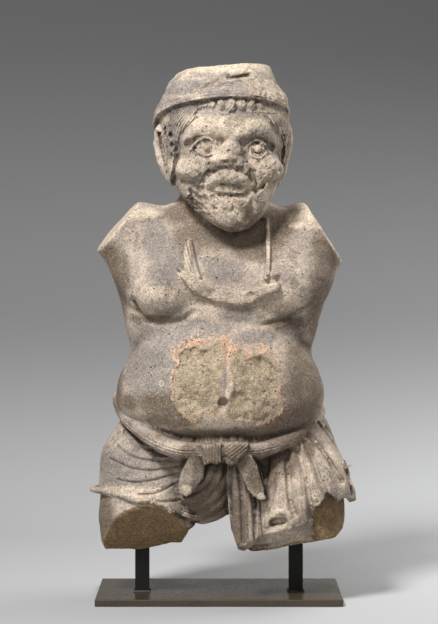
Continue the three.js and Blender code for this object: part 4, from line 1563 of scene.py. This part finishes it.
@dataclass(frozen=True)
class Sandstone:
    """Buff sandstone with a grey-mauve skin, pale worn edges with a painted highlight, grime and painted
    shade in its creases and pits, painted shade under its forms, and dark ochre breaks.
    """

    buff: Rgb = (0.53, 0.43, 0.335)
    taupe: Rgb = (0.37, 0.305, 0.255)
    slate: Rgb = (0.215, 0.188, 0.168)
    # Creamy pale stone; also the colour of painted light and painted highlights.
    cream_and_lit: Rgb = (0.60, 0.49, 0.375)
    # Deep brownish tone, for stains and for painted shade.
    brown_and_shade: Rgb = (0.135, 0.098, 0.067)
    rose: Rgb = (0.56, 0.33, 0.21)
    core: Rgb = (0.225, 0.148, 0.07)
    tan: Rgb = (0.42, 0.33, 0.225)
    # Near-black: dark grains, and painted shade in pits and creases.
    dirt_and_shade: Rgb = (0.05, 0.038, 0.029)
    patina: float = 9
    mottle: float = 36
    grit: float = 170
    speck: float = 340
    holes: float = 105
    grain_deep: float = 0.0011
    pit_deep: float = 0.0034

    def dress(self) -> bpy.types.Material:
        """Makes the material."""
        r = Recipe("sandstone")
        cloud = r.grain(self.patina, 6, 0.6, 0.8)
        mottle = r.grain(self.mottle, 7, 0.68, 0.5)
        grit = r.grain(self.grit, 4, 0.72)
        speck = r.grain(self.speck, 3, 0.75)
        holes = r.cells(self.holes)
        ragged = r.sum("MULTIPLY", r.sum("SUBTRACT", grit, 0.5), 1.3)
        colour = r.blend(r.step(cloud, 0.38, 0.62), self.buff, self.taupe)
        # Laid on in turn: mauve patina; brownish stain with painted shade; creamy pale stone with some
        # painted light.
        for zone, torn, low, high, most, stain in (
            (Zone.MAUVE, 2.4, 0.2, 0.8, 0.8, self.slate),
            (Zone.BROWN_AND_SHADE, 1.6, 0.05, 0.85, 0.9, self.brown_and_shade),
            (Zone.CREAM_AND_LIT, 1.8, 0.25, 0.95, 0.85, self.cream_and_lit),
        ):
            colour = r.blend(r.step(r.ragged(zone, mottle, torn), low, high, 0, most), colour, stain)
        stained = r.sum("MULTIPLY", r.step(cloud, 0.50, 0.62), r.step(mottle, 0.46, 0.60, 0, 0.55))
        colour = r.blend(stained, colour, self.brown_and_shade)
        flaked = r.sum("ADD", r.zone(Zone.FRESH), ragged)
        rim = r.sum("MULTIPLY", r.step(flaked, 0.2, 0.34), r.step(mottle, 0.42, 0.56, 0.05, 0.85))
        colour = r.blend(rim, colour, self.rose)
        colour = r.blend(r.step(flaked, 0.48, 0.66), colour, self.tan)
        colour = r.blend(r.step(r.zone(Zone.CORE), 0.4, 0.6), colour, self.core)
        # Pale thin edges: partly edge wear, partly a painted highlight.
        worn = r.sum("MULTIPLY", r.step(r.zone(Zone.WORN_AND_LIT_EDGE), 0.3, 0.7), r.step(mottle, 0.40, 0.56, 0.15, 0.85))
        colour = r.blend(worn, colour, self.cream_and_lit)
        streak = r.step(r.grain(20, 5, 0.62, stretch=5), 0.42, 0.60)
        colour = r.blend(r.sum("MULTIPLY", r.zone(Zone.RIBBED), streak), colour, self.slate)
        tone = r.sum("MULTIPLY", r.step(grit, 0.34, 0.66, 0.84, 1.16), r.step(speck, 0.32, 0.68, 0.76, 1.24))
        tone = r.sum("MULTIPLY", tone, r.step(mottle, 0.36, 0.64, 0.80, 1.16))
        colour = r.blend(1.0, colour, tone, "MULTIPLY")
        colour = r.blend(r.step(speck, 0.61, 0.67, 0, 0.5), colour, self.cream_and_lit)
        colour = r.blend(r.step(speck, 0.37, 0.31, 0, 0.4), colour, self.dirt_and_shade)
        # Scattered pits, bumped in and painted near-black: painted shade in them, with some grime.
        few = r.sum("MULTIPLY", r.step(holes, 0.24, 0.1), r.step(mottle, 0.5, 0.57))
        colour = r.blend(r.sum("MULTIPLY", few, 0.75), colour, self.dirt_and_shade)
        # Painted shade in creases and hollows, with some grime, from how enclosed each point is.
        crease = r.step(r.sum("ADD", r.zone(Zone.CREASE_DIRT_AND_SHADE), ragged), 0.15, 0.68, 0, 0.9)
        colour = r.blend(crease, colour, self.dirt_and_shade)
        height = r.sum("MULTIPLY", grit, r.step(r.zone(Zone.ROUGH), 0.0, 0.8, 0.22, 1))
        bed = r.relief(height, self.pit_deep)
        skin = r.sum("SUBTRACT", speck, r.sum("MULTIPLY", few, 1.5))
        return r.finish(colour, 0.88, r.relief(skin, self.grain_deep, bed))


@dataclass(frozen=True)
class Steel:
    """Coated or waxed steel with faint streaks and rubbed patches."""

    name: str
    colour: Rgb
    rubbed: Rgb
    roughness: float
    shine: float
    cloud: float = 9
    fine: float = 260
    fine_deep: float = 0.00008

    def dress(self) -> bpy.types.Material:
        """Makes the material."""
        r = Recipe(self.name)
        cloud = r.grain(self.cloud, 5, 0.6, 0.3)
        fine = r.grain(self.fine, 3)
        colour = r.blend(r.step(cloud, 0.3, 0.7), self.colour, self.rubbed)
        rough = r.step(r.sum("ADD", cloud, fine), 0.7, 1.3, self.roughness - 0.06, self.roughness + 0.08)
        r.shader.inputs["Specular IOR Level"].default_value = self.shine
        return r.finish(colour, rough, r.relief(fine, self.fine_deep))


BLACK_STEEL = Steel("black_steel", (0.004, 0.004, 0.0035), (0.007, 0.007, 0.006), 0.55, 0.28)
BRONZED_STEEL = Steel("bronzed_steel", (0.044, 0.030, 0.017), (0.058, 0.041, 0.024), 0.3, 0.55)


@dataclass
class Support:
    """The two square steel posts and the steel plate that they are welded to."""

    edge: float = 1.0
    bead: float = 3.2
    bead_slope: float = 0.7
    bead_gap: float = 0.3
    plate_edge: float = 1.4
    edge_steps: int = 3

    def block(self, form: bmesh.types.BMesh, size: Vector, middle: Vector) -> list[bmesh.types.BMVert]:
        """Adds a plain box and gives its corners."""
        made = bmesh.ops.create_cube(form, size=1)["verts"]
        bmesh.ops.scale(form, vec=size, verts=made)
        bmesh.ops.translate(form, vec=middle, verts=made)
        return made

    def bar(self, form: bmesh.types.BMesh, low: Spot, high: Spot, edge: float) -> None:
        """Adds a box with bevelled edges.

        Args:
            form: Gets the box.
            low: Lowest corner, in metres.
            high: Highest corner, in metres.
            edge: Width of the bevel in millimetres.
        """
        made = self.block(form, Vector(high) - Vector(low), (Vector(high) + Vector(low)) / 2)
        edges = list({e for v in made for e in v.link_edges})
        bmesh.ops.bevel(
            form, geom=edges, offset=edge * MM, segments=self.edge_steps, profile=0.5, affect="EDGES",
            material=-1,
        )

    def post(self, name: str, node: str, plate_top: float) -> bpy.types.Object:
        """Makes a post with the weld bead round its foot.

        Args:
            name: Name of the piece.
            node: The node whose box it fills.
            plate_top: Height of the plate's top.

        Returns:
            The piece.
        """
        low, high = (Vector(corner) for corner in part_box(node))
        form = bmesh.new()
        self.bar(form, low, high, self.edge)
        bead = self.bead * MM
        wide = (high.x - low.x) / 2 + bead
        middle = (low + high) / 2
        centre = Vector((middle.x, middle.y, plate_top + self.bead_gap * MM + bead / 2))
        foot = self.block(form, Vector((2 * wide, 2 * wide, bead)), centre)
        top = [v for v in foot if v.co.z > plate_top + bead / 2]
        shrink = (wide - bead * self.bead_slope) / wide
        bmesh.ops.translate(form, vec=(-middle.x, -middle.y, 0), verts=top)
        bmesh.ops.scale(form, vec=(shrink, shrink, 1), verts=top)
        bmesh.ops.translate(form, vec=(middle.x, middle.y, 0), verts=top)
        return new_piece(name, form)

    def build(self) -> None:
        """Makes the three pieces and dresses them."""
        plate_low, plate_high = (Vector(corner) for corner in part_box("base_plate"))
        black, bronzed = BLACK_STEEL.dress(), BRONZED_STEEL.dress()
        for side in ("left", "right"):
            post = self.post(f"{side}_bar", f"{side}_post", plate_high.z)
            finish_piece(post, black, f"{side}_post")
        form = bmesh.new()
        self.bar(form, plate_low, plate_high, self.plate_edge)
        finish_piece(new_piece("plate", form), bronzed, "base_plate")


def finish_piece(piece: bpy.types.Object, material: bpy.types.Material, node: str) -> None:
    """Dresses a piece, ties it to the frame and reports it.

    Args:
        piece: The piece.
        material: Its material.
        node: The node that it stands for.
    """
    piece.data.materials.clear()
    piece.data.materials.append(material)
    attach(piece, "root")
    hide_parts(node)
    log.info("%s: %d faces, %s", piece.name, len(piece.data.polygons), material.name)


@dataclass(frozen=True)
class Lamp:
    """A square soft light: its place and aim in metres, the length of its sides and its watts."""

    name: str
    at: Spot
    to: Spot
    size: float
    power: float
    colour: Rgb = (1, 1, 1)

    def hang(self) -> None:
        """Adds the light to the scene."""
        data = bpy.data.lights.new(self.name, "AREA")
        data.size = self.size
        data.energy = self.power
        data.color = self.colour
        lamp = bpy.data.objects.new(self.name, data)
        lamp.location = self.at
        lamp.rotation_euler = (Vector(self.to) - Vector(self.at)).to_track_quat("-Z", "Y").to_euler()
        bpy.context.scene.collection.objects.link(lamp)


@dataclass
class Studio:
    """The camera, the lights and the seamless backdrop."""

    eye: Spot = (0, -3578, 630)
    lens_shift: float = -59 / 624
    focal: float = 112.27
    sight: float = 50
    sweep_start: float = 0.75
    sweep_round: float = 1.3
    sweep_half: float = 5
    sweep_front: float = -6
    sweep_top: float = 5
    sweep_steps: int = 24
    # The paper is painted darker up the sweep: painted shade where the light falls off towards the top.
    floor: Rgb = (0.405, 0.409, 0.413)
    wall: Rgb = (0.190, 0.192, 0.194)
    high_wall_shade: Rgb = (0.095, 0.096, 0.097)
    wall_from: Flat = (-0.1, 0.5)
    high_wall_from: Flat = (0.4, 1.5)
    paper_rough: float = 0.9
    paper_grain: float = 300
    paper_deep: float = 0.00002
    room: Rgb = (0.5, 0.45, 0.38)
    room_light: float = 0.2
    lamps: tuple[Lamp, ...] = (
        Lamp("key", (-1.3, -2.3, 3.5), (0, 0, 0.5), 0.8, 240),
        Lamp("front", (-0.3, -3.4, 1.4), (0, 0, 0.5), 1.5, 18),
        Lamp("fill", (2.6, -2.4, 1.0), (0, 0, 0.5), 2.0, 1.5, (1.0, 0.88, 0.74)),
        Lamp("floor_light", (1.0, 0.5, 1.2), (1.0, 0.5, 0), 1.0, 21),
    )

    def camera(self) -> None:
        """Puts the camera at the photograph's place."""
        data = bpy.data.cameras.new("camera")
        data.lens = self.focal
        data.shift_y = self.lens_shift
        data.clip_end = self.sight
        eye = bpy.data.objects.new("camera", data)
        eye.location = Vector(self.eye) * MM
        eye.rotation_euler = (math.radians(90), 0, 0)
        bpy.context.scene.collection.objects.link(eye)
        bpy.context.scene.camera = eye

    def backdrop(self) -> None:
        """Makes the floor, which curves up into the wall behind the figure."""
        form = bmesh.new()
        start = form.verts.new((-self.sweep_half, self.sweep_front, 0))
        line = [start, form.verts.new((-self.sweep_half, self.sweep_start, 0))]
        for n in range(1, self.sweep_steps + 1):
            turn = math.pi / 2 * n / self.sweep_steps
            y = self.sweep_start + self.sweep_round * math.sin(turn)
            line.append(form.verts.new((-self.sweep_half, y, self.sweep_round * (1 - math.cos(turn)))))
        line.append(form.verts.new((-self.sweep_half, self.sweep_start + self.sweep_round, self.sweep_top)))
        edges = [form.edges.new(pair) for pair in zip(line, line[1:])]
        made = bmesh.ops.extrude_edge_only(form, edges=edges)["geom"]
        moved = [v for v in made if isinstance(v, bmesh.types.BMVert)]
        bmesh.ops.translate(form, vec=(2 * self.sweep_half, 0, 0), verts=moved)
        bmesh.ops.recalc_face_normals(form, faces=form.faces)
        if sum(face.normal.z for face in form.faces) < 0:
            bmesh.ops.reverse_faces(form, faces=form.faces)
        sweep = new_piece("backdrop", form)
        sweep.data.shade_smooth()
        r = Recipe("paper_with_painted_shade")
        r.one_sided()
        split = r.tree.nodes.new("ShaderNodeSeparateXYZ")
        r.feed(split.inputs["Vector"], r.place)
        height = split.outputs["Z"]
        # Painted shade: the paper goes darker from the floor up the sweep.
        colour = r.blend(r.step(height, *self.wall_from), self.floor, self.wall)
        colour = r.blend(r.step(height, *self.high_wall_from), colour, self.high_wall_shade)
        paper = r.relief(r.grain(self.paper_grain), self.paper_deep)
        sweep.data.materials.append(r.finish(colour, self.paper_rough, paper))

    def build(self) -> None:
        """Makes the camera, the lights and the backdrop."""
        self.camera()
        for lamp in self.lamps:
            lamp.hang()
        world = bpy.data.worlds.new("room")
        world.use_nodes = True
        room = world.node_tree.nodes["Background"].inputs
        room["Color"].default_value = (*self.room, 1)
        room["Strength"].default_value = self.room_light
        bpy.context.scene.world = world
        bpy.context.scene.view_settings.view_transform = "Standard"
        self.backdrop()


def main() -> None:
    """Builds the pieces in order and reports each one."""
    logging.basicConfig(level=logging.INFO, format="%(name)s: %(message)s")
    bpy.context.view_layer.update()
    Studio().build()
    Support().build()
    figure = copy_of_node("yaksha", "yaksha_figure")
    carver = Carver(Stone())
    carver.carve(figure)
    carver.mark(figure)
    finish_piece(figure, Sandstone().dress(), "yaksha_figure")


if __name__ == "__main__":
    main()
